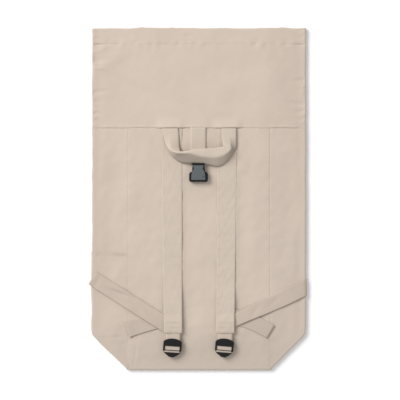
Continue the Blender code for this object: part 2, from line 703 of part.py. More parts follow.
def tape_path(side):
    """Sections of one side's tape as (middle, across) in world space."""
    sign = side["sign"]
    frame = lock_frame(side)
    layer = TAPE_THICKNESS + PIECE_GAP
    leg_z = DRAPE_GAP + TAPE_THICKNESS / 2
    tail_z = leg_z + layer
    lock_x = side["lock_out"] * STRAP_SPREAD / 2
    sections = []

    def lay(out, y, heading_x, heading_y, height):
        middle = Vector((sign * out, y, 0))
        across = Vector((sign * heading_x, heading_y, 0)).normalized()
        sections.append((middle, across, height))

    # Sewn leg: a bow from the corner seam to the strap
    anchor = (HALF_PANEL + TAPE_LEG_REACH, STRAP_END_Y + side["anchor_up"] * TAPE_WIDTH)
    turn_end = (lock_x + TAPE_TURN * 1.09, STRAP_END_Y + side["leg_up"] * TAPE_WIDTH)
    reach = (anchor[0] - turn_end[0]) * 0.55
    knee = (anchor[0] - reach, anchor[1] + reach * math.tan(math.radians(side["leg_rise"])) * 0.85)
    for step in range(7):
        share = step / 6
        first = (blend(anchor[0], knee[0], share), blend(anchor[1], knee[1], share))
        second = (blend(knee[0], turn_end[0], share), blend(knee[1], turn_end[1], share))
        out = blend(first[0], second[0], share)
        y = blend(first[1], second[1], share)
        run_x = second[0] - first[0]
        run_y = second[1] - first[1]
        lay(out, y, run_y, -run_x, leg_z)
    # Turn under the strap, down towards the lock
    run = math.atan2(turn_end[1] - knee[1], knee[0] - turn_end[0])
    centre_out = turn_end[0] - TAPE_TURN * math.sin(run)
    centre_y = turn_end[1] - TAPE_TURN * math.cos(run)
    for step in range(1, 6):
        angle = blend(math.pi / 2 - run, math.pi, step / 5)
        out = centre_out + TAPE_TURN * math.cos(angle)
        y = centre_y + TAPE_TURN * math.sin(angle)
        lay(out, y, math.cos(angle), math.sin(angle), leg_z)
    leg = [tape_section(middle, across, height) for middle, across, height in sections]
    # Through the lock: up the lower slot, over the grip bar, down the upper slot
    slot_in = (LOWER_SLOT_FOOT + GRIP_FOOT) / 2 - 0.6 * MM
    slot_out = (UPPER_SLOT_FOOT + UPPER_SLOT_TOP) / 2
    over = GRIP_TOP + PIECE_GAP + TAPE_THICKNESS / 2
    leg_local = leg_z - LOCK_STAND
    tail_local = tail_z - LOCK_STAND
    bend = 1.1 * TAPE_THICKNESS
    threading = [
        (slot_in + 3.5 * bend, leg_local), (slot_in + bend, leg_local),
        (slot_in + 0.3 * bend, leg_local + 0.3 * bend), (slot_in, leg_local + bend),
        (slot_in, over - bend), (slot_in + 0.3 * bend, over - 0.3 * bend), (slot_in + bend, over),
        (slot_out - bend, over), (slot_out - 0.3 * bend, over - 0.3 * bend), (slot_out, over - bend),
        (slot_out, tail_local + bend), (slot_out + 0.3 * bend, tail_local + 0.3 * bend),
        (slot_out + bend, tail_local),
    ]
    sides = (-sign * TAPE_WIDTH / 2, sign * TAPE_WIDTH / 2)

    runs = (LOCK_TOP + LOOP_REVEAL / 2, LOCK_TOP, LOCK_TOP / 2)
    lock_part = [[draped(frame, x, y, leg_z) for x in sides] for y in runs]
    lock_part += [[frame @ Vector((x, y, z)) for x in sides] for y, z in threading]
    lock_part += [[draped(frame, x, y, tail_z) for x in sides] for y in reversed(runs)]
    # Free tail: up under the strap, turned out over the sewn leg
    sections.clear()
    rise = math.radians(side["tail_rise"])
    meet_y = STRAP_END_Y + side["tail_up"] * TAPE_WIDTH
    tangent = TAPE_TURN * math.tan((math.pi / 2 - rise) / 2)
    centre_out = lock_x + TAPE_TURN
    centre_y = meet_y - tangent
    for step in range(6):
        angle = blend(math.pi, math.pi / 2 + rise, step / 5)
        out = centre_out + TAPE_TURN * math.cos(angle)
        y = centre_y + TAPE_TURN * math.sin(angle)
        lay(out, y, math.cos(angle), math.sin(angle), tail_z)
    start_out = centre_out - TAPE_TURN * math.sin(rise)
    start_y = centre_y + TAPE_TURN * math.cos(rise)
    end_out = FOLD_X + side["tail_past_fold"] * TAPE_WIDTH
    for step in range(1, 13):
        out = blend(start_out, end_out, step / 12)
        y = start_y + (out - start_out) * math.tan(rise)
        lay(out, y, -math.sin(rise), math.cos(rise), tail_z)
    tail = [tape_section(middle, across, height) for middle, across, height in sections]
    return leg, lock_part, tail


def tape_section(middle, across, height):
    """The tape's two edges, draped over the bag at the given height."""
    edges = []
    for half in (0.5, -0.5):
        point = middle + across * TAPE_WIDTH * half
        edges.append(Vector((point.x, point.y, top_height(point.x, point.y) + height)))
    return edges


def webbing(side):
    leg, lock_part, tail = tape_path(side)
    edges = leg + lock_part + tail

    def place(column, row):
        low, high = edges[row]
        return low.lerp(high, column / 2)

    name = "webbing_" + side["name"]
    return sheet(name, 2, len(edges) - 1, place, TAPE_THICKNESS, 0, TAPE_CREAM)


def buckle_frame():
    y = SEAM_Y - BUCKLE_DROP - BUCKLE_LENGTH / 2
    z = top_height(BUCKLE_X, y) + BUCKLE_STAND
    return Matrix.Translation((BUCKLE_X, y, z))


BUCKLE_TOP = BUCKLE_LENGTH / 2
BUCKLE_BAR_TOP = BUCKLE_TOP - BUCKLE_BAR_INSET
BUCKLE_BAR_BASE = (BUCKLE_PLATE_BASE - BUCKLE_BAR_HEIGHT) / 2 - 0.2 * MM


def buckle_socket():
    foot = -BUCKLE_TOP
    half = BUCKLE_WIDTH / 2
    shoulder = foot + BUCKLE_SHELL_LENGTH
    corner = 3 * MM
    shell = [
        (half, foot + corner), (half, shoulder - 1.6 * corner), (half - 0.5 * corner, shoulder - 0.5 * corner),
        (FACE_FOOT_WIDTH / 2, shoulder), (-FACE_FOOT_WIDTH / 2, shoulder),
        (0.5 * corner - half, shoulder - 0.5 * corner), (-half, shoulder - 1.6 * corner),
        (-half, foot + corner), (0.3 * corner - half, foot + 0.3 * corner), (corner - half, foot),
        (half - corner, foot), (half - 0.3 * corner, foot + 0.3 * corner),
    ]
    bar_foot = BUCKLE_TOP - BUCKLE_TOP_BAR_DEPTH
    face = [
        (FACE_TOP_WIDTH / 2, bar_foot + 0.2 * MM), (-FACE_TOP_WIDTH / 2, bar_foot + 0.2 * MM),
        (-FACE_FOOT_WIDTH / 2, foot + FACE_RIM), (FACE_FOOT_WIDTH / 2, foot + FACE_RIM),
    ]
    cavity = MOUTH_WIDTH / 2
    window = (foot + FACE_RIM + 3 * MM, foot + FACE_RIM + 3 * MM + WINDOW_LENGTH)
    sides = (MOUTH_FLOOR + 0.5 * MM, BUCKLE_SHELL_HEIGHT - MOUTH_ROOF - 0.5 * MM)
    passage = FACE_TOP_WIDTH / 2 - BUCKLE_CHEEK
    bar_y = (BUCKLE_BAR_TOP - BUCKLE_BAR, BUCKLE_BAR_TOP)
    bar_z = (BUCKLE_BAR_BASE, BUCKLE_BAR_BASE + BUCKLE_BAR_HEIGHT)
    mouth_z = (MOUTH_FLOOR, BUCKLE_SHELL_HEIGHT - MOUTH_ROOF)
    name = "buckle_socket"
    base = plate(name, shell, (0, BUCKLE_SHELL_HEIGHT), BAG)
    steps = [
        ("UNION", plate(name + "_face", face, (0, BUCKLE_HEIGHT), TOOLS)),
        ("UNION", block(name + "_top_bar", (-BUCKLE_TOP_BAR / 2, BUCKLE_TOP_BAR / 2),
                        (bar_foot, BUCKLE_TOP), (BUCKLE_PLATE_BASE, BUCKLE_HEIGHT))),
        ("DIFFERENCE", block(name + "_mouth", (-cavity, cavity), (foot - MM, foot + MOUTH_DEPTH), mouth_z)),
        ("DIFFERENCE", block(name + "_windows", (-half - MM, half + MM), window, sides)),
        ("DIFFERENCE", block(name + "_passage", (-passage, passage),
                             (foot + MOUTH_DEPTH + 2 * MM, BUCKLE_TOP + MM), (-MM, BUCKLE_PLATE_BASE))),
        ("UNION", block(name + "_bar", (-passage - 0.5 * MM, passage + 0.5 * MM), bar_y, bar_z)),
    ]
    return shape(base, steps, buckle_frame(), PLASTIC_BLACK, 0.25)


def closure_strap():
    """Short strap from the collar seam, looped round the socket's bar."""
    frame = buckle_frame()
    bar_y = frame.translation.y + BUCKLE_BAR_TOP - BUCKLE_BAR / 2
    bar_z = frame.translation.z + BUCKLE_BAR_BASE + BUCKLE_BAR_HEIGHT / 2
    radius = wrap_radius(BUCKLE_BAR, BUCKLE_BAR_HEIGHT, CLOSURE_THICKNESS)
    low = DRAPE_GAP + CLOSURE_THICKNESS / 2
    high = low + CLOSURE_THICKNESS + PIECE_GAP
    mouth_y = frame.translation.y + BUCKLE_TOP
    narrow = CLOSURE_END_WIDTH / 2
    wide = CLOSURE_WIDTH / 2
    stay_y = mouth_y + CLOSURE_RETURN
    half_way = mouth_y + CLOSURE_RETURN / 2
    bare_y = mouth_y + 1.4 * CLOSURE_RETURN
    path = []
    for y in spread(SEAM_Y - PIECE_GAP / 2, bare_y, 5):
        path.append((y, top_height(CLOSURE_X, y) + low, wide, CLOSURE_X))
    for y, share in ((stay_y, 0.0), (half_way, 0.5), (mouth_y + MM, 1.0)):
        rest = top_height(CLOSURE_X, y) + high
        path.append((y, blend(rest, bar_z + radius, smooth(share)), blend(wide, narrow, share), BUCKLE_X))
    for y, z in arc_round((bar_y, bar_z), radius, 90, 270, 8):
        path.append((y, z, narrow, BUCKLE_X))
    for y, share in ((mouth_y + MM, 1.0), (half_way, 0.4), (stay_y - MM, 0.0)):
        rest = top_height(CLOSURE_X, y) + low
        path.append((y, blend(rest, bar_z - radius, smooth(share)), narrow, BUCKLE_X))

    def place(column, row):
        y, z, half, middle = path[row]
        return Vector((middle + half * (1 - column / 2), y, z))

    return sheet("closure_strap", 4, len(path) - 1, place, CLOSURE_THICKNESS, 0, CANVAS_LIGHT)


def handle():
    """Haul loop, its legs on the shoulder straps and its middle stood on edge."""
    sections = rows_of(HANDLE_COLUMNS, HANDLE_SECTIONS)
    stack = DRAPE_GAP + STRAP_THICKNESS + PIECE_GAP + HANDLE_THICKNESS / 2 + 0.2 * MM

    def rail(section, which):
        x = HANDLE_X + HANDLE_SPAN * (section[which + "_x"] - 0.5)
        y = SEAM_Y - PIECE_GAP / 2 - HANDLE_DROP * section[which + "_y"]
        z = top_height(x, y) + stack + HANDLE_RISE * section[which + "_z"]
        return Vector((x, y, z))

    def place(column, row):
        section = sections[row]
        inner = rail(section, "inner")
        crease = rail(section, "crease")
        outer = rail(section, "outer")
        if column <= 2:
            return inner.lerp(crease, column / 2)
        return crease.lerp(outer, (column - 2) / 2)

    return sheet("handle", 4, len(sections) - 1, place, HANDLE_THICKNESS, 0, CANVAS_LIGHT)


def build():
    back_panel()
    front_panel()
    bottom_panel()
    gussets()
    pocket()
    collar()
    for side in rows_of(SIDE_COLUMNS, SIDES):
        shoulder_strap(side)
        ladder_lock(side)
        strap_loop(side)
        webbing(side)
    buckle_socket()
    closure_strap()
    handle()


build()
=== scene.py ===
"""Looks of the roll-top backpack: woven cloth, stitches, tape and moulded buckles.

Lengths are in millimetres here and become metres when a mesh is made. X runs
to the right, Y from the bag's bottom to its mouth, Z up from the floor.
"""
import math

import bpy
import numpy as np
from mathutils import Matrix, Vector


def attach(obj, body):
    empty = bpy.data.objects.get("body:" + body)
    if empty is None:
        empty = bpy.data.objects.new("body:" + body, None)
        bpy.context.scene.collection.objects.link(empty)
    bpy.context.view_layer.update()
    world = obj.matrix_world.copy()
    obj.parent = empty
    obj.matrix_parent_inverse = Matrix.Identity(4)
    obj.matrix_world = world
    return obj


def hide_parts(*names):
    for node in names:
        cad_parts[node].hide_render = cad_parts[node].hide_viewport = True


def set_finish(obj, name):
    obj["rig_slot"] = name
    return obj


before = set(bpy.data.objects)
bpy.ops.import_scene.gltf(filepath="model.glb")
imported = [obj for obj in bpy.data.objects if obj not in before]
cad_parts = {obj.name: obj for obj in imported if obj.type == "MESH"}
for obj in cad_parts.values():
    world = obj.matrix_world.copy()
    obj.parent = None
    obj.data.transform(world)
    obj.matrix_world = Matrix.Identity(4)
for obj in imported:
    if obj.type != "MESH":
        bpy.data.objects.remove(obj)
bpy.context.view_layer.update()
MM = 0.001

# The part's own sizes
HALF_PANEL = 142.0
FOLD_X = 214.0
TOP_Y = 342.0
BOTTOM_Y = -342.0
SEAM_Y = 142.0
CORNER_Y = -270.0
POCKET_Y = -106.0
FLAP_Y = -198.0
EDGE_HEIGHT = 9.0
CROWN_HEIGHT = 15.0
CROWN_REACH = 90.0
EDGE_RADIUS = 4.5
EDGE_DROP = 0.3
RIM_SQUARE = 0.62
RIM_BLEND = 26.0
SEAM_CLEAR = 0.02
SEAM_STEPS = (0.25, 0.7, 1.3, 2.2, 3.6)
HEM_DEPTH = 31.0
HEM_STITCH_Y = 310.5
POCKET_LAYER = 1.8
POCKET_RAMP = 24.0
GAP = 0.3
DRAPE_GAP = 0.45
CLOTH = 1.1
TUCK_RUN = 14.0
CAD_CLOTH = 1.5

STRAP_END_Y = -268.0
STRAP_WIDTH = 40.0
STRAP_SPREAD = 111.0
STRAP_THICKNESS = 2.0
STRAP_FLAT = 0.93
STRAP_FALL = 0.9
TAPE_WIDTH = 30.0
TAPE_THICKNESS = 1.4
TAPE_TURN = 16.0
TAPE_LEG_REACH = 2.0
TAIL_DROOP = 3.2
LOOP_WIDTH = 29.0
LOOP_THICKNESS = 1.0
LOOP_TAIL = 17.0
LOOP_REVEAL = 10.0

LOCK_LENGTH = 38.0
LOCK_TOP = 19.0
LOOP_BAR_SIZE = 1.8
LOOP_BAR_Y = 14.5
LOOP_BAR_Z = 2.8
GRIP_TOP = 3.6
LOWER_SLOT_Y = -5.6
UPPER_SLOT_Y = 4.4
LOCK_STAND = 2 * (DRAPE_GAP + TAPE_THICKNESS + GAP / 2)

CLOSURE_X = -1.5
CLOSURE_THICKNESS = 1.5
CLOSURE_STAND = 0.2
CLOSURE_HALF = 16.0
CLOSURE_NARROW_HALF = 10.0
BUCKLE_X = -1.0
BUCKLE_Y = 52.6
BUCKLE_STAND = 2.0
BUCKLE_END = 18.4
BUCKLE_BAR_IN = 6.4
BUCKLE_BAR_Z = 2.9
BUCKLE_BAR_SIZE = (2.0, 1.8)

HANDLE_SPAN = 146.0
HANDLE_DROP = 77.0
HANDLE_RISE = 20.0
HANDLE_THICKNESS = 1.4
HANDLE_STAND = 1.9
HANDLE_CREASING = 0.75
HANDLE_X = 1.2

STITCH_PITCH = 3.6
STITCH_LENGTH = 2.7
STITCH_RADIUS = 0.28

# Painted shade: how much darker the cloth is painted to the left and to the bottom, and where, in metres
PAINTED_SHADE_AMOUNT = 0.07
PAINTED_SHADE_X = (-0.205, -0.105)
PAINTED_SHADE_Y = (-0.320, -0.230)

# Share of the way along the handle and how dark its lower face is painted there, as painted shade where the
# face turns from the light
HANDLE_PAINTED_SHADE = ((0.17, 0.0), (0.28, 0.30), (0.45, 0.24), (0.60, 0.08), (0.72, 0.12), (0.84, 0.34), (0.93, 0.0))


def rows_of(columns, table):
    """A table's rows, each with its columns named."""
    return [dict(zip(columns, row)) for row in table]


# The part's own broad folds, as shares of the bag's size
FOLD_COLUMNS = ("x", "y", "heading", "length", "width", "height")
FOLDS = rows_of(FOLD_COLUMNS, (
    (-0.44, 0.81, -22, 0.42, 0.110, -0.11),
    (-0.80, 0.92, 35, 0.22, 0.100, 0.08),
    (0.34, 0.88, 12, 0.40, 0.120, -0.07),
    (0.80, 0.77, -60, 0.24, 0.090, 0.08),
    (-0.82, 0.45, 80, 0.40, 0.100, -0.07),
    (0.84, 0.50, 95, 0.44, 0.100, -0.06),
    (0.02, 0.30, 4, 0.30, 0.090, -0.05),
))

# Share of the way down a shoulder strap, and the layers of tape and of loop that lie under it there
STRAP_LIFTS = (
    (0.00, 0.0, 0.0),
    (0.62, 0.0, 0.0),
    (0.78, 0.6, 0.0),
    (0.86, 2.0, 0.2),
    (0.91, 2.0, 0.5),
    (0.945, 2.0, 2.2),
    (1.00, 2.0, 2.4),
)

SIDES = rows_of((
    "name", "sign", "top_out", "top_width", "end_out", "end_width", "lock_out", "lock_turn",
    "tail_rise", "tail_up", "tail_past_fold", "leg_rise", "anchor_up", "leg_up",
), (
    ("left", -1, 0.982, 1.025, 0.937, 0.90, 0.960, -4, 32.3, 0.300, -0.020, 19.6, 0.183, 0.900),
    ("right", 1, 1.018, 0.975, 0.946, 0.90, 0.910, -5, 25.4, 0.433, -0.147, 31, 0.070, 1.067),
))

# Haul loop from left to right: inner edge, crease, outer edge, each x, y, z
HANDLE_SECTIONS = (
    (0.208, 0.006, 0.00, 0.106, 0.006, 0.00, 0.000, 0.006, 0.00),
    (0.216, 0.22, 0.01, 0.113, 0.25, 0.10, 0.014, 0.25, 0.08),
    (0.222, 0.40, 0.03, 0.096, 0.44, 0.36, 0.040, 0.42, 0.20),
    (0.228, 0.53, 0.12, 0.124, 0.58, 0.66, 0.074, 0.58, 0.12),
    (0.240, 0.605, 0.42, 0.194, 0.64, 1.05, 0.132, 0.74, 0.04),
    (0.302, 0.61, 0.80, 0.285, 0.645, 1.15, 0.210, 0.86, 0.03),
    (0.365, 0.59, 0.95, 0.345, 0.645, 1.18, 0.285, 0.905, 0.12),
    (0.420, 0.56, 0.92, 0.410, 0.67, 1.13, 0.366, 0.912, 0.24),
    (0.486, 0.54, 0.86, 0.474, 0.71, 1.06, 0.450, 0.915, 0.25),
    (0.574, 0.535, 0.80, 0.567, 0.745, 0.97, 0.560, 0.925, 0.25),
    (0.622, 0.530, 0.75, 0.620, 0.755, 0.90, 0.612, 0.945, 0.20),
    (0.675, 0.525, 0.70, 0.675, 0.762, 0.84, 0.678, 0.970, 0.14),
    (0.764, 0.505, 0.58, 0.770, 0.740, 0.78, 0.757, 0.985, 0.08),
    (0.822, 0.480, 0.50, 0.862, 0.665, 0.68, 0.842, 0.895, 0.12),
    (0.818, 0.415, 0.36, 0.930, 0.535, 0.48, 0.924, 0.725, 0.11),
    (0.810, 0.315, 0.22, 0.920, 0.415, 0.24, 0.990, 0.530, 0.05),
    (0.805, 0.17, 0.08, 0.905, 0.23, 0.08, 1.000, 0.270, 0.02),
    (0.803, 0.006, 0.00, 0.905, 0.006, 0.00, 1.000, 0.006, 0.00),
)

# Small folds and puckers seen on the cloth: middle, heading in degrees,
# length, width and height; sharp ones come to a crease
DENTS = rows_of(FOLD_COLUMNS + ("sharp",), (
    (-206, 309, 4, 15, 2.6, -1.8, 1),
    (-188, 309, 2, 30, 2.2, -0.5, 1),
    (-196, 299, 30, 14, 6.0, 1.1, 0),
    (206, 309, -3, 14, 2.6, -1.6, 1),
    (186, 309, -3, 26, 2.2, -0.4, 1),
    (-212, 282, 5, 13, 2.8, -1.8, 1),
    (-213, 266, 0, 11, 2.8, -1.5, 1),
    (-24, 326, 4, 10, 2.6, -0.6, 0),
    (-64, 307, -8, 12, 2.2, -0.6, 0),
    (-128, 314, 3, 12, 2.0, -0.5, 0),
    (-205, 276, 8, 22, 5.0, -1.6, 0),
    (-203, 262, -4, 18, 4.0, 1.0, 0),
    (-206, 214, 6, 20, 4.0, -1.4, 0),
    (-207, 196, -8, 14, 4.0, -1.0, 0),
    (206, 238, 4, 20, 4.0, -1.4, 0),
    (205, 190, -8, 24, 4.5, -1.5, 0),
    (206, 176, 6, 18, 4.0, -1.1, 0),
    (-95, 214, -22, 90, 9.0, -0.9, 0),
    (-110, 226, -22, 80, 8.0, 0.5, 0),
    (-178, 276, 38, 40, 12.0, 0.8, 0),
    (75, 168, -14, 50, 10.0, 0.7, 0),
    (110, 196, -20, 60, 12.0, -0.5, 0),
    (-168, -276, 3, 22, 2.2, -1.0, 1),
    (-151, -290, 6, 10, 2.0, -0.9, 1),
    (-127.6, -312, 82, 25, 2.0, -0.8, 1),
    (-122, -310, 84, 26, 3.0, 0.2, 0),
    (-145, -305, 90, 11, 1.4, -0.8, 1),
    (-148, -315, 0, 5, 1.4, -0.7, 1),
    (14, -260, 1, 60, 2.0, -0.35, 1),
    (0, -275, -1, 80, 2.0, -0.40, 1),
    (-160, -150, 60, 40, 10.0, 0.5, 0),
    (170, -90, 80, 60, 12.0, -0.5, 0),
    (-100, 60, 70, 80, 14.0, -0.4, 0),
    (110, 20, 85, 90, 14.0, 0.4, 0),
))

# Folds in the tapes, in the same columns as the cloth's
TAPE_FOLDS = rows_of(FOLD_COLUMNS, (
    (-160, -188, -20, 24, 3.6, -1.9),
    (-163, -180, -24, 20, 3.6, 1.3),
    (-204, -166, 60, 16, 4.0, -1.0),
    (-112, -222, -45, 14, 4.0, 0.6),
    (150, -205, 40, 14, 5.0, -0.9),
    (112, -224, 60, 14, 5.0, -0.8),
    (190, -172, 25, 20, 4.0, 0.6),
))

# Small creases across the straps: y and depth
STRAP_TICKS = ((-92, 0.35), (-118, 0.45), (-134, 0.35), (20, 0.2), (-200, 0.25))

# The x of each strap's right edge, at the strap's top and at its end
STRAP_EDGES = ((-34, -34), (76, 70.5))

# Where the collar rises over what is sewn in under its edge: middle, half width, height
LIPS = ((-54.5, 20, 1.9), (56.5, 19, 1.9), (-57, 15, 1.5), (60, 15, 1.5), (-1.5, 15.5, 1.3))

# A ladder lock's bars from its foot up: low and high y, corner, low and high z, edge
LOCK_BARS = (
    (-5.6, -4.3, 0.6, 5.0, 5.75, 0.3),
    (-3.0, 2.2, 1.0, 1.2, 3.6, 0.6),
    (6.8, 10.0, 1.0, 0.0, 5.0, 0.6),
    (13.6, 15.4, 0.6, 1.9, 3.7, 0.5),
)


def clamp(share):
    return np.clip(share, 0.0, 1.0)


def ease(share):
    share = clamp(share)
    return 1 - (1 - share) ** 2


def smooth(share):
    share = clamp(share)
    return share * share * (3 - 2 * share)


def blend(low, high, share):
    return low + (high - low) * share


def spread(low, high, step):
    """Values from low to high about a step apart, both ends included."""
    return np.linspace(low, high, max(2, int(round(abs(high - low) / step)) + 1))


def waves(x, y, size, seed, stretch=1.0, count=14):
    """Smooth random undulation of about unit height."""
    rng = np.random.default_rng(seed)
    total = np.zeros(np.broadcast(x, y).shape)
    for _ in range(count):
        heading = rng.uniform(0, math.tau)
        pace = math.tau / size * rng.uniform(0.6, 1.7)
        run = x * math.cos(heading) + y * stretch * math.sin(heading)
        total = total + np.sin(run * pace + rng.uniform(0, math.tau))
    return total * math.sqrt(2 / count)


def bell(value, width):
    return np.exp(-(value / width) ** 2)


def row(x, y, z):
    """One row of points, where a single value counts for all of them."""
    return np.stack(np.broadcast_arrays(x, y, z), -1)


# The bag's form

def fold_x(y):
    """Where the side fold lies, with a slightly rounded corner."""
    away = CORNER_Y - y
    return FOLD_X - 0.5 * (away + np.sqrt(away ** 2 + 18.0))


def edge_distance(x, y):
    side = FOLD_X - np.abs(x)
    bottom = y - BOTTOM_Y
    corner = (HALF_PANEL + y - BOTTOM_Y - np.abs(x)) / math.sqrt(2)
    return np.minimum(np.minimum(side, bottom), corner)


def placed(fold):
    """One of the part's broad folds, in millimetres."""
    sizes = {key: fold[key] * FOLD_X for key in ("x", "length", "width")}
    y = BOTTOM_Y + fold["y"] * (TOP_Y - BOTTOM_Y)
    return {**fold, **sizes, "y": y, "height": fold["height"] * CROWN_HEIGHT}


BROAD_FOLDS = [placed(fold) for fold in FOLDS]


def folded(x, y, folds):
    """Height that folds give a cloth; sharp ones come to a crease."""
    total = np.zeros(np.broadcast(x, y).shape)
    for fold in folds:
        heading = math.radians(fold["heading"])
        cos, sin = math.cos(heading), math.sin(heading)
        away_x, away_y = x - fold["x"], y - fold["y"]
        along = (away_x * cos + away_y * sin) / fold["length"]
        across = (away_y * cos - away_x * sin) / fold["width"]
        profile = np.exp(-1.4 * np.abs(across)) if fold.get("sharp") else np.exp(-across ** 2)
        total = total + fold["height"] * np.exp(-along ** 2) * profile
    return total


def back_height(x, y):
    """The back's surface as the part has it, with its crown and broad folds."""
    inside = edge_distance(x, y) - EDGE_RADIUS
    rise = blend(ease(inside / CROWN_REACH), smooth(inside / CROWN_REACH), 0.6)
    broad = folded(x, y, BROAD_FOLDS) * smooth(inside / (2 * EDGE_HEIGHT))
    return EDGE_HEIGHT + (CROWN_HEIGHT - EDGE_HEIGHT) * rise + broad


def top_height(x, y):
    inward = x + HALF_PANEL
    above = y - POCKET_Y
    step = smooth(1 - inward / (2 * EDGE_HEIGHT)) * smooth(1 - above / (2 * EDGE_HEIGHT))
    return back_height(x, y) + POCKET_LAYER * step


def side_lift(y):
    return POCKET_LAYER * smooth((POCKET_Y + POCKET_RAMP + EDGE_HEIGHT - y) / POCKET_RAMP)


def strap_fall(x, y):
    """How far the panel falls away to the right of each strap, before it rises again."""
    fall = 0.0
    for top_edge, low_edge in STRAP_EDGES:
        away = x - blend(top_edge, low_edge, (SEAM_Y - y) / (SEAM_Y - STRAP_END_Y))
        fall = fall + smooth(away / 9) * (1 - smooth((away - 9) / 36))
    return STRAP_FALL * fall * smooth((60 - y) / 20) * smooth((y + 262) / 20)


def hem_relief(x, y):
    """Puckers, the sewn line and the turned edge of the collar's hem."""
    loose = 0.5 + 0.5 * smooth(0.5 + 0.5 * waves(x, 0 * y, 90, 12))
    pucker = 0.36 * loose * waves(x, 0.3 * y, 15, 11) * np.exp(-np.abs(y - 310) / 7)
    sewn = 0.16 * clamp(0.35 + 0.5 * waves(x, 0 * y, 75, 14, count=8))
    turned = 0.14 * clamp(0.6 + 0.5 * waves(x, 0 * y, 60, 17, count=8)) * smooth((TOP_Y - y) / 3)
    past = y - HEM_STITCH_Y
    return pucker - sewn * bell(past, 1.3) + turned * smooth(past / 2.0)


def detail(x, y):
    """Undulations, dents and puckers of the upper cloth."""
    soft = 0.42 * waves(x, y, 110, 3) + 0.12 * waves(x, y, 36, 5) + 0.16 * waves(x, y, 60, 8, 0.3)
    soft = soft * blend(0.55, 1.05, smooth((SEAM_Y - y) / 40)) * smooth((edge_distance(x, y) - 1) / 24)
    seam = 0.16 * waves(x, 0 * y, 16, 21) * np.exp(-np.abs(y - SEAM_Y) / 6)
    down = 0.12 * waves(y, 0 * x, 18, 31) * np.exp(-np.abs(np.abs(x) - HALF_PANEL) / 5)
    down = down * smooth((SEAM_Y - y) / 8)
    return soft + folded(x, y, DENTS) + hem_relief(x, y) + seam + down - strap_fall(x, y)


def squared(value):
    """Sine or cosine values pushed towards a squarer curve."""
    return np.sign(value) * np.abs(value) ** RIM_SQUARE


def edge_drop(x, y):
    """How far the upper cloth sinks towards the folded edges."""
    return EDGE_DROP * (1 - smooth((edge_distance(x, y) - 2) / 34))


def groove(distance, depth, width=1.0):
    """A sewn seam's dip at this distance from it."""
    return -depth * bell(distance, width)


def side_groove(x, y):
    """The long seams' dip, fainter on the pocket's side and towards the bottom."""
    depth = np.where(x < 0, 0.16, 0.42) * (1 - 0.5 * smooth((-240 - y) / 60))
    depth = depth * clamp(0.7 + 0.35 * waves(y, 0 * y, 70, 33, count=8))
    return groove(HALF_PANEL - np.abs(x), depth)


def lip(x):
    """How much the collar's lower edge rises over the strap ends sewn in under it."""
    return sum(height * smooth((half + 16 - np.abs(x - middle)) / 20) for middle, half, height in LIPS)


def rim_share(past):
    """How much a cloth follows the folded rim, by how far past the flat it is."""
    return smooth((past + RIM_BLEND) / RIM_BLEND) ** 2


# Meshes

def set_up(item, nodes, slot, material):
    item.data.materials.append(material)
    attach(item, "root")
    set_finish(item, slot)
    if nodes:
        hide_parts(*nodes)


def new_object(name, vertices, faces):
    mesh = bpy.data.meshes.new(name)
    mesh.from_pydata((np.asarray(vertices) * MM).tolist(), [], faces)
    mesh.polygons.foreach_set("use_smooth", np.ones(len(mesh.polygons), bool))
    mesh.update()
    item = bpy.data.objects.new(name, mesh)
    bpy.context.scene.collection.objects.link(item)
    return item


def cloth(name, points, material, nodes, slot="canvas", thickness=CLOTH, offset=-1.0, turned=False,
          closed=False):
    """A cloth from a grid of points, a sheet or a closed tube, with its weave's coordinates."""
    points = np.asarray(points, float)
    rows, columns = points.shape[:2]
    index = np.arange(rows * columns).reshape(rows, columns)
    grid = points
    if closed:
        index = np.concatenate([index, index[:, :1]], axis=1)
        grid = np.concatenate([points, points[:, :1]], axis=1)
    along = np.linalg.norm(np.diff(grid, axis=1), axis=2).mean(0)
    down = np.linalg.norm(np.diff(grid, axis=0), axis=2).mean(1)
    u = np.concatenate([[0], np.cumsum(along)])
    v = np.concatenate([[0], np.cumsum(down)])
    uv = np.stack(np.meshgrid(u, v), -1) * MM
    corners = ((slice(None, -1), slice(None, -1)), (slice(None, -1), slice(1, None)),
               (slice(1, None), slice(1, None)), (slice(1, None), slice(None, -1)))
    faces = np.stack([index[c] for c in corners], -1).reshape(-1, 4)
    loops = np.stack([uv[c] for c in corners], -2).reshape(-1, 4, 2)
    if turned:
        faces = faces[:, ::-1]
        loops = loops[:, ::-1]
    item = new_object(name, points.reshape(-1, 3), faces.tolist())
    layer = item.data.uv_layers.new(name="weave")
    layer.data.foreach_set("uv", loops.reshape(-1).astype(np.float32))
    if thickness:
        thicken = item.modifiers.new("thicken", "SOLIDIFY")
        thicken.thickness = thickness * MM
        thicken.offset = offset
    set_up(item, nodes, slot, material)


def stitch_mesh():
    """One stitch: a low bead along X, of unit half length and radius."""
    points = []
    for x, radius in ((-1.0, 0.45), (-0.6, 1.0), (0.6, 1.0), (1.0, 0.45)):
        for step in range(6):
            angle = math.tau * step / 6
            points.append((x, radius * math.cos(angle), radius * math.sin(angle)))
    faces = []
    for ring in range(3):
        for step in range(6):
            low = ring * 6 + step
            side = ring * 6 + (step + 1) % 6
            faces.append((low, side, side + 6, low + 6))
    faces.append(tuple(range(5, -1, -1)))
    faces.append(tuple(range(18, 24)))
    return np.array(points), faces


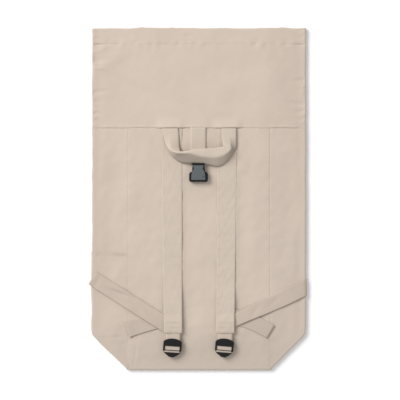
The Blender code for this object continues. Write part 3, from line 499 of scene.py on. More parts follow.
def stitches(name, lines, slot):
    """Rows of stitches along lines of points, each line an array of x, y, z."""
    template, template_faces = stitch_mesh()
    vertices = []
    faces = []
    for line in lines:
        line = np.asarray(line, float)
        run = np.concatenate([[0], np.cumsum(np.linalg.norm(np.diff(line, axis=0), axis=1))])
        count = int(run[-1] // STITCH_PITCH)
        for number in range(count):
            at = (number + 0.5) * run[-1] / count
            start, end = [np.array([np.interp(d, run, line[:, k]) for k in range(3)])
                          for d in (at - STITCH_LENGTH / 2, at + STITCH_LENGTH / 2)]
            way = (end - start) / np.linalg.norm(end - start)
            side = np.cross((0, 0, 1), way)
            side = side / np.linalg.norm(side)
            section = np.outer(template[:, 1], side) + np.outer(template[:, 2], np.cross(way, side))
            bead = np.outer(template[:, 0], way) * STITCH_LENGTH / 2 + section * STITCH_RADIUS
            base = len(vertices) * len(template)
            vertices.append((start + end) / 2 + bead)
            faces += [tuple(base + i for i in face) for face in template_faces]
    set_up(new_object(name, np.concatenate(vertices), faces), (), slot, THREAD)


# Materials

def feed(tree, made, inputs):
    """Sets a node's inputs, each a value or another node's output."""
    for key, value in inputs.items():
        if isinstance(value, bpy.types.NodeSocket):
            tree.links.new(value, made.inputs[key])
        else:
            made.inputs[key].default_value = value


def node(tree, kind, inputs=None, **settings):
    """A new node with its settings and inputs. Gives its outputs."""
    made = tree.nodes.new(kind)
    for key, value in settings.items():
        setattr(made, key, value)
    feed(tree, made, inputs or {})
    return made.outputs


def math_node(tree, operation, *values):
    return node(tree, "ShaderNodeMath", dict(enumerate(values)), operation=operation)[0]


def ranged(tree, value, low, high, first, last):
    """A smooth step from first to last, as the value goes from low to high."""
    inputs = {"Value": value, "From Min": low, "From Max": high, "To Min": first, "To Max": last}
    return node(tree, "ShaderNodeMapRange", inputs, interpolation_type="SMOOTHSTEP")[0]


def noise(tree, place, scale, detail_levels):
    inputs = {"Vector": place, "Scale": scale, "Detail": detail_levels}
    return node(tree, "ShaderNodeTexNoise", inputs)[0]


def ramp(tree, value, stops):
    """A colour by value, each stop a position and a colour."""
    made = tree.nodes.new("ShaderNodeValToRGB")
    elements = made.color_ramp.elements
    for number, (position, colour) in enumerate(stops):
        if number > 1:
            elements.new(position)
        elements[number].position = position
        elements[number].color = (*colour, 1)
    feed(tree, made, {0: value})
    return made.outputs[0]


def darkened(tree, colour, amount):
    """The colour, darkened by an amount from another node."""
    inputs = {0: amount, 6: colour, 7: (0.0, 0.0, 0.0, 1)}
    return node(tree, "ShaderNodeMix", inputs, data_type="RGBA", blend_type="MULTIPLY")[2]


def bumped(tree, height, strength, depth):
    """A normal with fine relief of a depth in millimetres."""
    inputs = {"Height": height, "Strength": strength, "Distance": depth * MM}
    return node(tree, "ShaderNodeBump", inputs)[0]


def new_material(name, colour):
    """A material with the plain colour that stands for it. Gives its node tree and shader too."""
    material = bpy.data.materials.new(name)
    material.use_nodes = True
    material.diffuse_color = (*colour, 1)
    tree = material.node_tree
    return material, tree, tree.nodes["Principled BSDF"]


def weave_place(tree):
    """The weave's coordinates, and the same split into across and along."""
    place = node(tree, "ShaderNodeUVMap", uv_map="weave")[0]
    return place, node(tree, "ShaderNodeSeparateXYZ", {0: place})


def paint_shade(material, across, length, amounts):
    """Paints shade on a cloth past a line across it, by amounts that change along it."""
    tree = material.node_tree
    shader = tree.nodes["Principled BSDF"]
    colour = shader.inputs["Base Color"].links[0].from_socket
    parts = weave_place(tree)[1]
    over = ranged(tree, parts[0], across[0] * MM, across[1] * MM, 0.0, 1.0)
    run = node(tree, "ShaderNodeMapRange", {"Value": parts[1], "From Max": length * MM})[0]
    down = ramp(tree, run, [(position, (amount,) * 3) for position, amount in amounts])
    feed(tree, shader, {"Base Color": darkened(tree, colour, math_node(tree, "MULTIPLY", over, down))})


def fabric(name, light, dark, thread, slub, relief):
    """Plain-woven cloth: two sets of threads, uneven slubs, soft patches and painted shade towards the left
    and the bottom.
    """
    material, tree, shader = new_material(name, [(a + b) / 2 for a, b in zip(light, dark)])
    weave, parts = weave_place(tree)
    pace = math.pi / (thread * MM)
    warp = math_node(tree, "SINE", math_node(tree, "MULTIPLY", parts[0], pace))
    weft = math_node(tree, "SINE", math_node(tree, "MULTIPLY", parts[1], pace))
    over = math_node(tree, "MULTIPLY", warp, weft)
    slubs = []
    for stretch in ((1.0, 14.0), (14.0, 1.0)):
        scale = (1 / (thread * MM * stretch[0]), 1 / (thread * MM * stretch[1]), 1)
        drawn = node(tree, "ShaderNodeMapping", {0: weave, "Scale": scale})[0]
        slubs.append(noise(tree, drawn, 1.0, 2.0))
    slubbed = math_node(tree, "ADD", *slubs)
    place = node(tree, "ShaderNodeTexCoord")["Object"]
    patches = math_node(tree, "SUBTRACT", noise(tree, place, 14.0, 3.0), 0.5)
    tone = math_node(tree, "MULTIPLY_ADD", slubbed, slub, 0.5 - slub)
    tone = math_node(tree, "ADD", tone, math_node(tree, "MULTIPLY", over, 0.10))
    tone = math_node(tree, "ADD", tone, math_node(tree, "MULTIPLY", patches, 0.5))
    spot = node(tree, "ShaderNodeSeparateXYZ", {0: place})
    # Painted shade: the colour darkens towards the left and the bottom of the bag.
    shade_to_left = ranged(tree, spot[0], *PAINTED_SHADE_X, PAINTED_SHADE_AMOUNT, 0.0)
    shade_to_bottom = ranged(tree, spot[1], *PAINTED_SHADE_Y, 0.8 * PAINTED_SHADE_AMOUNT, 0.0)
    colour = ramp(tree, tone, ((0.0, dark), (1.0, light)))
    height = math_node(tree, "ADD", over, math_node(tree, "MULTIPLY", slubbed, 0.9))
    feed(tree, shader, {
        "Base Color": darkened(tree, colour, math_node(tree, "MAXIMUM", shade_to_left, shade_to_bottom)),
        "Normal": bumped(tree, height, relief, 0.12),
        "Roughness": 0.92, "Specular IOR Level": 0.18, "Sheen Weight": 0.12, "Sheen Roughness": 0.6,
    })
    return material


def plastic(name, colour, rough, shine):
    """Moulded plastic with a faint, uneven gloss."""
    material, tree, shader = new_material(name, colour)
    grain = noise(tree, node(tree, "ShaderNodeTexCoord")["Object"], 900.0, 2.0)
    low, high = 0.8, 1.25
    tones = ((0.0, [c * low for c in colour]), (1.0, [c * high for c in colour]))
    gloss = {"Value": grain, "To Min": rough * low, "To Max": rough * high}
    feed(tree, shader, {
        "Base Color": ramp(tree, grain, tones),
        "Roughness": node(tree, "ShaderNodeMapRange", gloss)[0],
        "Normal": bumped(tree, grain, 0.10, 0.03),
        "Specular IOR Level": shine,
    })
    return material


STRAP_TONES = ((0.630, 0.540, 0.450), (0.535, 0.450, 0.370))
CANVAS = fabric("canvas_cloth", (0.640, 0.545, 0.462), (0.545, 0.455, 0.378), 0.62, 0.5, 0.5)
STRAP_CLOTH = fabric("strap_cloth", *STRAP_TONES, 0.62, 0.5, 0.5)
# The handle's own copy of the strap cloth, which carries painted shade on its lower face.
HANDLE_CLOTH_WITH_PAINTED_SHADE = fabric("handle_cloth", *STRAP_TONES, 0.62, 0.5, 0.5)
TAPE_CLOTH = fabric("tape_cloth", (0.578, 0.489, 0.410), (0.492, 0.409, 0.340), 0.9, 0.5, 0.6)
THREAD = fabric("sewing_thread", (0.640, 0.560, 0.480), (0.560, 0.470, 0.400), 0.3, 0.4, 0.3)
BLACK = plastic("moulded_black", (0.008, 0.008, 0.009), 0.34, 0.28)
# The buckle face's grey is a painted reflection on black plastic.
GREY_PAINTED_REFLECTION = plastic("grey_painted_reflection", (0.097, 0.110, 0.114), 0.38, 0.4)


# Bag cloth

def seam_stations(low, high, step):
    """Stations with finer ones near both ends, where the seams are."""
    low_side = [low] + [low + d for d in SEAM_STEPS]
    high_side = [high - d for d in reversed(SEAM_STEPS)] + [high]
    return np.concatenate([low_side, spread(low_side[-1], high_side[0], step)[1:-1], high_side])


def upper(x, y, extra=0.0):
    inside = smooth((TOP_Y - y) / 30)
    return back_height(x, y) + detail(x, y) - edge_drop(x, y) * inside + extra


def back_panel():
    x = seam_stations(-HALF_PANEL + SEAM_CLEAR, HALF_PANEL - SEAM_CLEAR, 2.2)
    y = seam_stations(BOTTOM_Y + EDGE_RADIUS, SEAM_Y - SEAM_CLEAR, 2.4)
    turn = np.radians(np.arange(90, 9, -10))
    points = []
    for angle in turn:
        row_y = BOTTOM_Y + EDGE_RADIUS * (1 - squared(math.sin(angle)))
        row_z = EDGE_RADIUS + (EDGE_RADIUS - EDGE_DROP) * squared(math.cos(angle))
        points.append(row(x, row_y, row_z))
    for row_y in y:
        z = upper(x, row_y, side_groove(x, row_y) + groove(SEAM_Y - row_y, 0.5, 1.4))
        points.append(row(x, row_y, z))
    cloth("back_cloth", points, CANVAS, ("back_panel",))


def front_panel():
    radius = CAD_CLOTH + GAP / 2
    x = spread(-HALF_PANEL + SEAM_CLEAR, HALF_PANEL - SEAM_CLEAR, 6)
    profile = [(y, 0.0) for y in spread(SEAM_Y - SEAM_CLEAR, CORNER_Y + radius, 6)]
    for angle in np.radians(np.arange(15, 181, 15)):
        profile.append((CORNER_Y + radius - radius * math.sin(angle), radius - radius * math.cos(angle)))
    profile += [(y, 2 * radius) for y in spread(CORNER_Y + radius, FLAP_Y, 6)[1:]]
    points = [row(x, y, z) for y, z in profile]
    cloth("front_cloth", points, CANVAS, ("front_panel",))


def bottom_panel():
    x = spread(-HALF_PANEL + SEAM_CLEAR, HALF_PANEL - SEAM_CLEAR, 6)
    run = CORNER_Y - TUCK_RUN - GAP
    over = 2 * (CAD_CLOTH + GAP / 2) + GAP
    profile = []
    for angle in np.radians(np.arange(90, 1, -10)):
        profile.append((BOTTOM_Y + EDGE_RADIUS * (1 - math.sin(angle)), EDGE_RADIUS * (1 - math.cos(angle))))
    profile += [(y, 0.0) for y in spread(BOTTOM_Y + EDGE_RADIUS, run, 5)]
    for y in np.concatenate([spread(run, run + TUCK_RUN, 2)[1:], spread(run + TUCK_RUN, FLAP_Y, 6)[1:]]):
        profile.append((y, over * smooth((y - run) / TUCK_RUN)))
    points = [row(x, y, z) for y, z in profile]
    cloth("bottom_cloth", points, CANVAS, ("bottom_panel",), turned=True)


def edge_wobble(y, seed):
    """Small unevenness of a side fold."""
    return 0.5 * waves(y, 0 * y, 60, seed) + 0.22 * waves(y, 0 * y, 17, seed + 1)


def side_cloth(name, node_name, sign, rows, lift_at, layer, seed):
    """A piece folded round one side of the bag, from seam to seam."""
    points = []
    inner = HALF_PANEL + SEAM_CLEAR
    share = np.concatenate([[0, 0.004, 0.011, 0.022, 0.04], np.linspace(0.065, 1, 34)])
    angles = np.linspace(0, math.pi, 15)[1:-1]
    for y in rows:
        lift = lift_at(y)
        depth = y - BOTTOM_Y
        near = min(depth, EDGE_RADIUS)
        half = math.sqrt(max(near * (2 * EDGE_RADIUS - near), 0.01))
        radius = half * (1 - lift / (2 * EDGE_RADIUS))
        fold = float(fold_x(y)) + 0.5 * float(edge_wobble(np.float64(y), seed))
        centre = max(fold - radius, inner + SEAM_CLEAR)
        outset = layer * (0.15 + 0.85 * float(smooth((fold - inner) / 45)))
        middle = EDGE_RADIUS + lift / 2
        across = blend(inner, centre, share)
        x = sign * across
        sewn = smooth((across - HALF_PANEL + 3) / 42)
        z = upper(x, y, outset * sewn + side_groove(x, y) + groove(SEAM_Y - y, 0.9, 1.6))
        drop = EDGE_DROP * min(radius / EDGE_RADIUS, 1.0)
        rim = middle + radius + outset - drop
        level = smooth((depth - EDGE_RADIUS) / 6) if depth > EDGE_RADIUS else 0.0
        z = blend(rim, z, level)
        z = blend(z, rim, rim_share(across - centre))
        slant = math.sqrt(2) if y < CORNER_Y else 1.0
        out = centre + (radius + outset * slant) * squared(np.sin(angles))
        height = radius + outset - drop * (angles < math.pi / 2)
        rim_z = middle + height * squared(np.cos(angles))
        under = spread(centre, inner, 6)
        low = middle - radius - outset
        section_x = np.concatenate([across, out, under])
        section_z = np.concatenate([z, rim_z, low + 0 * under])
        points.append(row(sign * section_x, y, section_z))
    count = min(len(p) for p in points)
    points = [p if len(p) == count else even(p, count, len(share) + len(angles)) for p in points]
    cloth(name, points, CANVAS, (node_name,), turned=sign < 0)


def even(section, count, kept):
    """The same section with its underside resampled to the common count."""
    tail = section[kept:]
    share = np.linspace(0, 1, count - kept)
    old = np.linspace(0, 1, len(tail))
    made = np.stack([np.interp(share, old, tail[:, k]) for k in range(3)], -1)
    return np.concatenate([section[:kept], made])


def side_rows(foot, *above):
    """Rows up a side piece, finer at its foot and at the corner."""
    return np.concatenate([[BOTTOM_Y + d for d in foot], spread(BOTTOM_Y + EDGE_RADIUS, CORNER_Y - 6, 2.4),
                           spread(CORNER_Y - 4, CORNER_Y + 4, 1.5), *above])


def gussets():
    rows = side_rows((0.3, 0.9, 1.8, 3.0), seam_stations(CORNER_Y + 6, SEAM_Y - SEAM_CLEAR, 2.4))
    side_cloth("gusset_cloth_left", "gusset_left", -1, rows, side_lift, 0.0, 41)
    side_cloth("gusset_cloth_right", "gusset_right", 1, rows, lambda y: 0.0, 0.0, 43)


def pocket():
    hem = spread(POCKET_Y - 7, POCKET_Y, 0.6)
    rows = side_rows((0.5, 1.2, 2.2, 3.2), spread(CORNER_Y + 6, POCKET_Y - 8, 2.4), hem)
    side_cloth("pocket_cloth", "pocket_left", -1, rows, lambda y: POCKET_LAYER, POCKET_LAYER, 41)


def collar_stations():
    """Rows up the collar, over its mouth and down inside the hem: y and inset."""
    turn = CAD_CLOTH + 0.35
    low = [SEAM_Y + SEAM_CLEAR + d for d in (0.0, 0.35, 0.8, 1.4, 2.2, 3.4, 5.0)]
    rise = [spread(SEAM_Y + 7, 304, 2.4), spread(305, 314, 0.75), spread(316, TOP_Y - turn, 2.4)]
    stations = [(y, 0.0) for y in np.concatenate([low] + rise)]
    for angle in np.radians(np.arange(15, 181, 15)):
        stations.append((TOP_Y - turn + turn * math.sin(angle), turn - turn * math.cos(angle)))
    return stations + [(y, 2 * turn) for y in spread(TOP_Y - turn, TOP_Y - HEM_DEPTH, 6)[1:]]


def collar_puckers(x, y):
    """Puckers along the collar's side folds."""
    left, right = [waves(y, 0.0, 14, seed) * smooth(0.5 + 0.6 * waves(y, 0.0, 70, seed + 1))
                   for seed in (91, 95)]
    return 0.75 * np.where(x < 0, left, right) * bell(FOLD_X - np.abs(x), 11)


def collar():
    """The roll-up tube, one closed ring of points a row."""
    flat_x = FOLD_X - EDGE_RADIUS
    top = spread(-flat_x, flat_x, 2.2)
    under = spread(flat_x, -flat_x, 7)
    angles = np.linspace(0, math.pi, 13)[1:-1]
    points = []
    for y, inset in collar_stations():
        wobble = [0.5 * float(edge_wobble(np.float64(y), seed)) for seed in (51, 57)]
        x = top + blend(-wobble[0], wobble[1], (top + flat_x) / (2 * flat_x))
        reach = EDGE_RADIUS - inset
        drop = min(EDGE_DROP * float(smooth((TOP_Y - y) / 30)), 0.5 * reach)
        near = rim_share(np.abs(top) - flat_x)
        above = y - SEAM_Y
        over = lip(x)
        sewn = clamp(0.62 + 0.38 * waves(x, 0 * x, 46, 63, count=8))
        z = upper(x, y) - inset + over * smooth(1 - above / 26) ** 1.2
        z = z - (0.55 * sewn + 0.2 * over) * bell(above, 0.9)
        z = z + (0.3 + 0.35 * sewn) * bell(above - 2.6, 1.8)
        z = blend(z, EDGE_HEIGHT - inset - drop, near)
        if inset < 0.1:
            z = z + near * folded(x, y, DENTS) + collar_puckers(x, y)
        wave = (0.55 * waves(x, 0 * x, 70, 61) + 0.2 * waves(x, 0 * x, 24, 62)) * smooth((y - 318) / 22)
        rim_x = flat_x + reach * squared(np.sin(angles))
        rim_z = EDGE_RADIUS + (reach - drop * (angles < math.pi / 2)) * squared(np.cos(angles))
        left, right = [row(sign * (rim_x + wobble[end]), y + wave[end], rim_z)
                       for sign, end in ((-1, 0), (1, -1))]
        upside = row(x, y + wave, z)
        downside = row(under, y, inset)
        points.append(np.concatenate([upside, right, downside, left[::-1]]))
    cloth("collar_cloth", points, CANVAS, ("collar",), closed=True)


# Straps, tapes and handle

def strap_lift(share):
    table = np.array(STRAP_LIFTS)
    tapes = np.interp(share, table[:, 0], table[:, 1]) * (TAPE_THICKNESS + GAP)
    loops = np.interp(share, table[:, 0], table[:, 2]) * (LOOP_THICKNESS + GAP)
    return 0.25 + tapes + loops


def strap_place(side, share, across):
    """A point's x and y on a shoulder strap, across from -1 to 1."""
    out = blend(side["top_out"], side["end_out"], share) * STRAP_SPREAD / 2
    width = STRAP_WIDTH * blend(side["top_width"], side["end_width"], share)
    x = side["sign"] * out + width * across / 2
    y = STRAP_END_Y + (SEAM_Y - GAP / 2 - STRAP_END_Y) * (1 - share)
    return x, y


def strap_wave(side, x, y):
    seed = 71 if side["sign"] < 0 else 77
    return 0.18 * waves(x, y, 60, seed) + 0.10 * waves(x, y, 17, seed + 1)


def strap_fullness(share, y):
    """A strap's thickness, as a share of its full one."""
    return blend(0.5, 1.0, smooth((SEAM_Y - y) / 12)) * blend(0.55, 0.8, smooth((share - 0.3) / 0.6))


def shoulder_strap(side):
    """A folded strip of canvas, rounded at its edges, tucked under the collar."""
    last = 0.985
    flat = np.linspace(STRAP_FLAT, -STRAP_FLAT, 18)
    edge = np.abs(flat)
    ridge = 0.05 * bell(edge - 0.92, 0.08) - 0.05 * bell(edge - 0.80, 0.045)
    turn = np.radians(np.arange(30, 180, 30))
    points = []
    for share in np.concatenate([spread(-0.008, last, 0.0055), [0.990, 0.995, 1.0]]):
        run = clamp(share)
        x, y = strap_place(side, share, flat)
        low = top_height(x, np.minimum(y, SEAM_Y)) + strap_lift(run) + strap_wave(side, x, y)
        for tick_y, depth in STRAP_TICKS:
            low = low - depth * bell(y - tick_y, 1.6) * smooth(0.4 - side["sign"] * (flat + 0.2))
        low = low - 0.35 * smooth((y - SEAM_Y + 12) / 12)
        half = STRAP_THICKNESS * (0.95 + ridge) * strap_fullness(run, y) / 2
        if share > last:
            half = half * math.sqrt(max(1 - ((share - last) / 0.0155) ** 2, 0.05))
        middle = low + half
        up, down = [row(x, y, z) for z in (middle + half, middle - half)]
        left_x, right_x = [strap_place(side, share, across)[0] for across in (-STRAP_FLAT, STRAP_FLAT)]
        width = (right_x - left_x) * (1 - STRAP_FLAT) / (2 * STRAP_FLAT)
        left = row(left_x - width * np.sin(turn), y, middle[-1] + half[-1] * np.cos(turn))
        right = row(right_x + width * np.sin(turn), y, middle[0] - half[0] * np.cos(turn))
        points.append(np.concatenate([up, left, down[::-1], right]))
    cloth("strap_cloth_" + side["name"], points, STRAP_CLOTH, ("shoulder_strap_" + side["name"],),
          "canvas_strap", thickness=0, closed=True)


def strap_stitches(side):
    """Two long rows down a strap and two short ones across its end."""
    lines = []
    for across in (-0.80, 0.80):
        line = []
        for share in np.linspace(0.004, 0.965, 120):
            x, y = strap_place(side, share, across)
            z = top_height(x, y) + strap_lift(share) + strap_wave(side, x, y)
            line.append((x, y, float(z + STRAP_THICKNESS * 0.90 * strap_fullness(share, y))))
        lines.append(line)
    for share in (0.945, 0.972):
        line = []
        for across in np.linspace(-0.72, 0.72, 12):
            x, y = strap_place(side, share, across)
            line.append((x, y, float(top_height(x, y) + strap_lift(share)) + STRAP_THICKNESS * 0.95 + 0.05))
        lines.append(line)
    stitches("strap_stitches_" + side["name"], lines, "canvas_strap")


def lock_frame(side):
    x = side["sign"] * side["lock_out"] * STRAP_SPREAD / 2
    y = STRAP_END_Y - LOCK_TOP - LOOP_REVEAL
    upper_z = float(top_height(x, y + LOCK_TOP))
    lower_z = float(top_height(x, y - LOCK_TOP))
    turn = Matrix.Rotation(math.radians(side["lock_turn"]), 4, "Z")
    slope = Matrix.Rotation(math.atan2(upper_z - lower_z, LOCK_LENGTH), 4, "X")
    return Matrix.Translation((x, y, (lower_z + upper_z) / 2 + LOCK_STAND)) @ turn @ slope


def draped(place, x, y, height):
    point = place @ Vector((x, y, 0))
    return np.array((point.x, point.y, float(top_height(point.x, point.y)) + height))


def band(name, edges, thickness, material, node_name, slot, columns=8, folds=()):
    """A flat band between two edge lines, with its folds and thickness."""
    edges = np.asarray(edges, float)
    share = np.linspace(0, 1, columns + 1)[None, :, None]
    points = blend(edges[:, :1], edges[:, 1:], share)
    points[:, :, 2] += folded(points[:, :, 0], points[:, :, 1], folds)
    cloth(name, points, material, (node_name,), slot, thickness=thickness, offset=0.0)


def resample(points, step):
    """A denser, smooth version of a list of points of any shape."""
    points = np.asarray(points, float)
    flat = points.reshape(len(points), -1)
    lengths = np.linalg.norm(np.diff(points.reshape(len(points), -1, 3).mean(1), axis=0), axis=1)
    run = np.concatenate([[0], np.cumsum(np.maximum(lengths, 1e-6))])
    slopes = np.gradient(flat, run, axis=0)
    out = []
    for number in range(len(flat) - 1):
        span = run[number + 1] - run[number]
        count = max(1, int(math.ceil(span / step)))
        for part in range(count):
            t = part / count
            a = 2 * t ** 3 - 3 * t ** 2 + 1
            b = t ** 3 - 2 * t ** 2 + t
            c = -2 * t ** 3 + 3 * t ** 2
            d = t ** 3 - t ** 2
            start = a * flat[number] + b * span * slopes[number]
            out.append(start + c * flat[number + 1] + d * span * slopes[number + 1])
    out.append(flat[-1])
    return np.array(out).reshape(-1, *points.shape[1:])


def tape_edges(middle_x, middle_y, across_x, across_y, height, lifts=(0.0, 0.0)):
    length = math.hypot(across_x, across_y)
    edges = []
    for half, lift in zip((0.5, -0.5), lifts):
        x = middle_x + across_x / length * TAPE_WIDTH * half
        y = middle_y + across_y / length * TAPE_WIDTH * half
        edges.append((x, y, float(top_height(x, y)) + height + lift))
    return edges


def tape_turn(sign, centre, angles, height):
    """The tape's edges round a flat turn."""
    edges = []
    for angle in angles:
        cos, sin = math.cos(angle), math.sin(angle)
        x, y = centre[0] + TAPE_TURN * cos, centre[1] + TAPE_TURN * sin
        edges.append(tape_edges(sign * x, y, sign * cos, sin, height))
    return edges


def tape_leg(side, lock_x, height):
    """The sewn leg, slightly curved, and its turn towards the lock."""
    sign = side["sign"]
    anchor = np.array((HALF_PANEL + TAPE_LEG_REACH, STRAP_END_Y + side["anchor_up"] * TAPE_WIDTH))
    turn_end = np.array((lock_x + TAPE_TURN * 1.09, STRAP_END_Y + side["leg_up"] * TAPE_WIDTH))
    reach = (anchor[0] - turn_end[0]) * 0.55
    knee = anchor + reach * np.array((-1, math.tan(math.radians(side["leg_rise"]))))
    leg = []
    for share in np.linspace(0, 1, 25):
        first, second = blend(anchor, knee, share), blend(knee, turn_end, share)
        x, y = blend(first, second, share)
        run_x, run_y = second - first
        leg.append(tape_edges(sign * x, y, sign * run_y, -run_x, height))
    run = math.atan2(turn_end[1] - knee[1], knee[0] - turn_end[0])
    centre = turn_end - TAPE_TURN * np.array((math.sin(run), math.cos(run)))
    return leg + tape_turn(sign, centre, np.linspace(math.pi / 2 - run, math.pi, 13)[1:], height)


def tape_threading(side, leg_z, tail_z):
    """In at the lock's lower slot, over its grip and out at the upper slot."""
    place = lock_frame(side)
    slot_in = LOWER_SLOT_Y - 3.9
    over = GRIP_TOP + GAP + TAPE_THICKNESS / 2
    low, high = leg_z - LOCK_STAND, tail_z - LOCK_STAND
    bend = 1.1 * TAPE_THICKNESS
    nook = 0.3 * bend
    path = [
        (slot_in + 3.5 * bend, low), (slot_in + bend, low), (slot_in + nook, low + nook),
        (slot_in, low + bend),
        (slot_in, over - bend), (slot_in + nook, over - nook), (slot_in + bend, over),
        (UPPER_SLOT_Y - bend, over), (UPPER_SLOT_Y - nook, over - nook), (UPPER_SLOT_Y, over - bend),
        (UPPER_SLOT_Y, high + bend), (UPPER_SLOT_Y + nook, high + nook), (UPPER_SLOT_Y + bend, high),
    ]
    ends = (-side["sign"] * TAPE_WIDTH / 2, side["sign"] * TAPE_WIDTH / 2)
    runs = (LOCK_TOP + LOOP_REVEAL / 2, LOCK_TOP, LOCK_TOP / 2)
    edges = [[draped(place, x, y, leg_z) for x in ends] for y in runs]
    edges += [[np.array(place @ Vector((x, y, z))) for x in ends] for y, z in path]
    return edges + [[draped(place, x, y, tail_z) for x in ends] for y in reversed(runs)]


def trimmed(pair, share, rise):
    """The right tail is narrower at its start, cut along the bag's edge and bent over it."""
    high, low = np.array(pair)
    low = blend(low, high, 0.18 * float(1 - smooth(share / 0.8)))
    high = high + 13.0 * float(smooth((share - 0.8) / 0.2)) * np.array((math.cos(rise), math.sin(rise), 0))
    return [(x, y, z - TAIL_DROOP * float(clamp((x - FOLD_X + 4) / 6)) ** 2) for x, y, z in (high, low)]


def tape_tail(side, lock_x, height):
    """The free tail: a turn out from under the strap, then a straight run to its end."""
    sign = side["sign"]
    rise = math.radians(side["tail_rise"])
    meet_y = STRAP_END_Y + side["tail_up"] * TAPE_WIDTH
    centre = (lock_x + TAPE_TURN, meet_y - TAPE_TURN * math.tan((math.pi / 2 - rise) / 2))
    tail = tape_turn(sign, centre, np.linspace(math.pi, math.pi / 2 + rise, 15), height)
    start = (centre[0] - TAPE_TURN * math.sin(rise), centre[1] + TAPE_TURN * math.cos(rise))
    end_out = FOLD_X + side["tail_past_fold"] * TAPE_WIDTH
    for share in np.linspace(0, 1, 60)[1:]:
        out = blend(start[0], end_out, share)
        last = float(smooth((share - 0.85) / 0.15))
        settle = 1.3 * float(smooth((share - 0.4) / 0.3)) + 0.8 * last
        press = -0.7 * float(smooth((share - 0.2) / 0.4)) * (1 - 0.6 * last)
        lift = (2.1 - 0.3 * sign) * float(smooth(share / 0.2)) * (0.75 + 0.25 * math.sin(9 * share + sign))
        lift = lift * float(1 - 0.7 * smooth((share - 0.75) / 0.25))
        lift = lift * (1 - (0.22 + 0.22 * sign) * float(smooth((share - 0.3) / 0.3)))
        y = start[1] + (out - start[0]) * math.tan(rise)
        across = (-sign * math.sin(rise), math.cos(rise))
        pair = tape_edges(sign * out, y, *across, height - settle, (press, lift))
        tail.append(trimmed(pair, share, rise) if sign > 0 else pair)
    return tail


def webbing(side):
    """The tape: sewn leg, turn, threading through the lock, free tail."""
    leg_z = DRAPE_GAP + TAPE_THICKNESS / 2
    tail_z = leg_z + TAPE_THICKNESS + GAP
    lock_x = side["lock_out"] * STRAP_SPREAD / 2
    edges = tape_leg(side, lock_x, leg_z) + tape_threading(side, leg_z, tail_z)
    edges += tape_tail(side, lock_x, tail_z)
    band("tape_" + side["name"], edges, TAPE_THICKNESS * 0.78, TAPE_CLOTH, "webbing_" + side["name"], "tape",
         16, TAPE_FOLDS)


def strap_loop(side):
    """The loop that holds the lock: from under the strap, round the bar and back."""
    place = lock_frame(side)
    radius = math.hypot(LOOP_BAR_SIZE, LOOP_BAR_SIZE) / 2 + 0.7 * GAP + LOOP_THICKNESS / 2
    end = LOCK_TOP + LOOP_REVEAL + LOOP_TAIL
    under_strap = LOCK_TOP + LOOP_REVEAL - 2
    low = LOOP_THICKNESS / 2
    high = low + LOOP_THICKNESS + GAP
    stay = (end, (end + under_strap) / 2, under_strap)
    path = [(y, LOCK_STAND + high, True) for y in stay]
    path.append((LOCK_TOP + 1, LOOP_BAR_Z + radius * 0.9, False))
    for angle in np.radians(np.arange(90, 271, 15)):
        path.append((LOOP_BAR_Y + radius * math.cos(angle), LOOP_BAR_Z + radius * math.sin(angle), False))
    path.append((LOCK_TOP + 1, LOOP_BAR_Z - radius * 0.95, False))
    path += [(y, LOCK_STAND + low, True) for y in reversed(stay)]
    edges = []
    for y, z, over_bag in path:
        ends = (LOOP_WIDTH / 2, -LOOP_WIDTH / 2)
        if over_bag:
            edges.append([draped(place, x, y, z) for x in ends])
        else:
            edges.append([np.array(place @ Vector((x, y, z))) for x in ends])
    band("loop_" + side["name"], edges, LOOP_THICKNESS * 0.9, TAPE_CLOTH, "strap_loop_" + side["name"],
         "tape")


def closure_strap():
    """The short strap: from the seam down, round the buckle's bar and back under itself."""
    mouth_y = BUCKLE_Y + BUCKLE_END
    bar_y = mouth_y - BUCKLE_BAR_IN
    bar_z = float(top_height(BUCKLE_X, BUCKLE_Y)) + BUCKLE_STAND + BUCKLE_BAR_Z
    radius = math.hypot(*BUCKLE_BAR_SIZE) / 2 + 0.7 * GAP + CLOSURE_THICKNESS / 2
    low = CLOSURE_STAND + CLOSURE_THICKNESS / 2
    high = low + CLOSURE_THICKNESS + GAP
    stay = mouth_y + 24
    wide, narrow = CLOSURE_HALF, CLOSURE_NARROW_HALF

    def rest(y, height):
        return float(top_height(CLOSURE_X, y)) + height

    path = [(y, rest(y, low), wide, CLOSURE_X) for y in spread(SEAM_Y + 2, mouth_y + 34, 4)]
    for y, share in ((stay, 0.0), (mouth_y + 12, 0.5), (mouth_y + 1, 1.0)):
        z = blend(rest(y, high), bar_z + radius, smooth(share))
        path.append((y, z, blend(wide, narrow, share), BUCKLE_X))
    for angle in np.radians(np.arange(90, 271, 15)):
        path.append((bar_y + radius * math.cos(angle), bar_z + radius * math.sin(angle), narrow, BUCKLE_X))
    for y, share in ((mouth_y + 1, 1.0), (mouth_y + 12, 0.4), (stay - 1, 0.0)):
        path.append((y, blend(rest(y, low), bar_z - radius, smooth(share)), narrow, BUCKLE_X))
    edges = [[(middle + half, y, z), (middle - half, y, z)] for y, z, half, middle in path]
    band("closure_cloth", edges, CLOSURE_THICKNESS * 0.75, STRAP_CLOTH, "closure_strap", "canvas_strap")


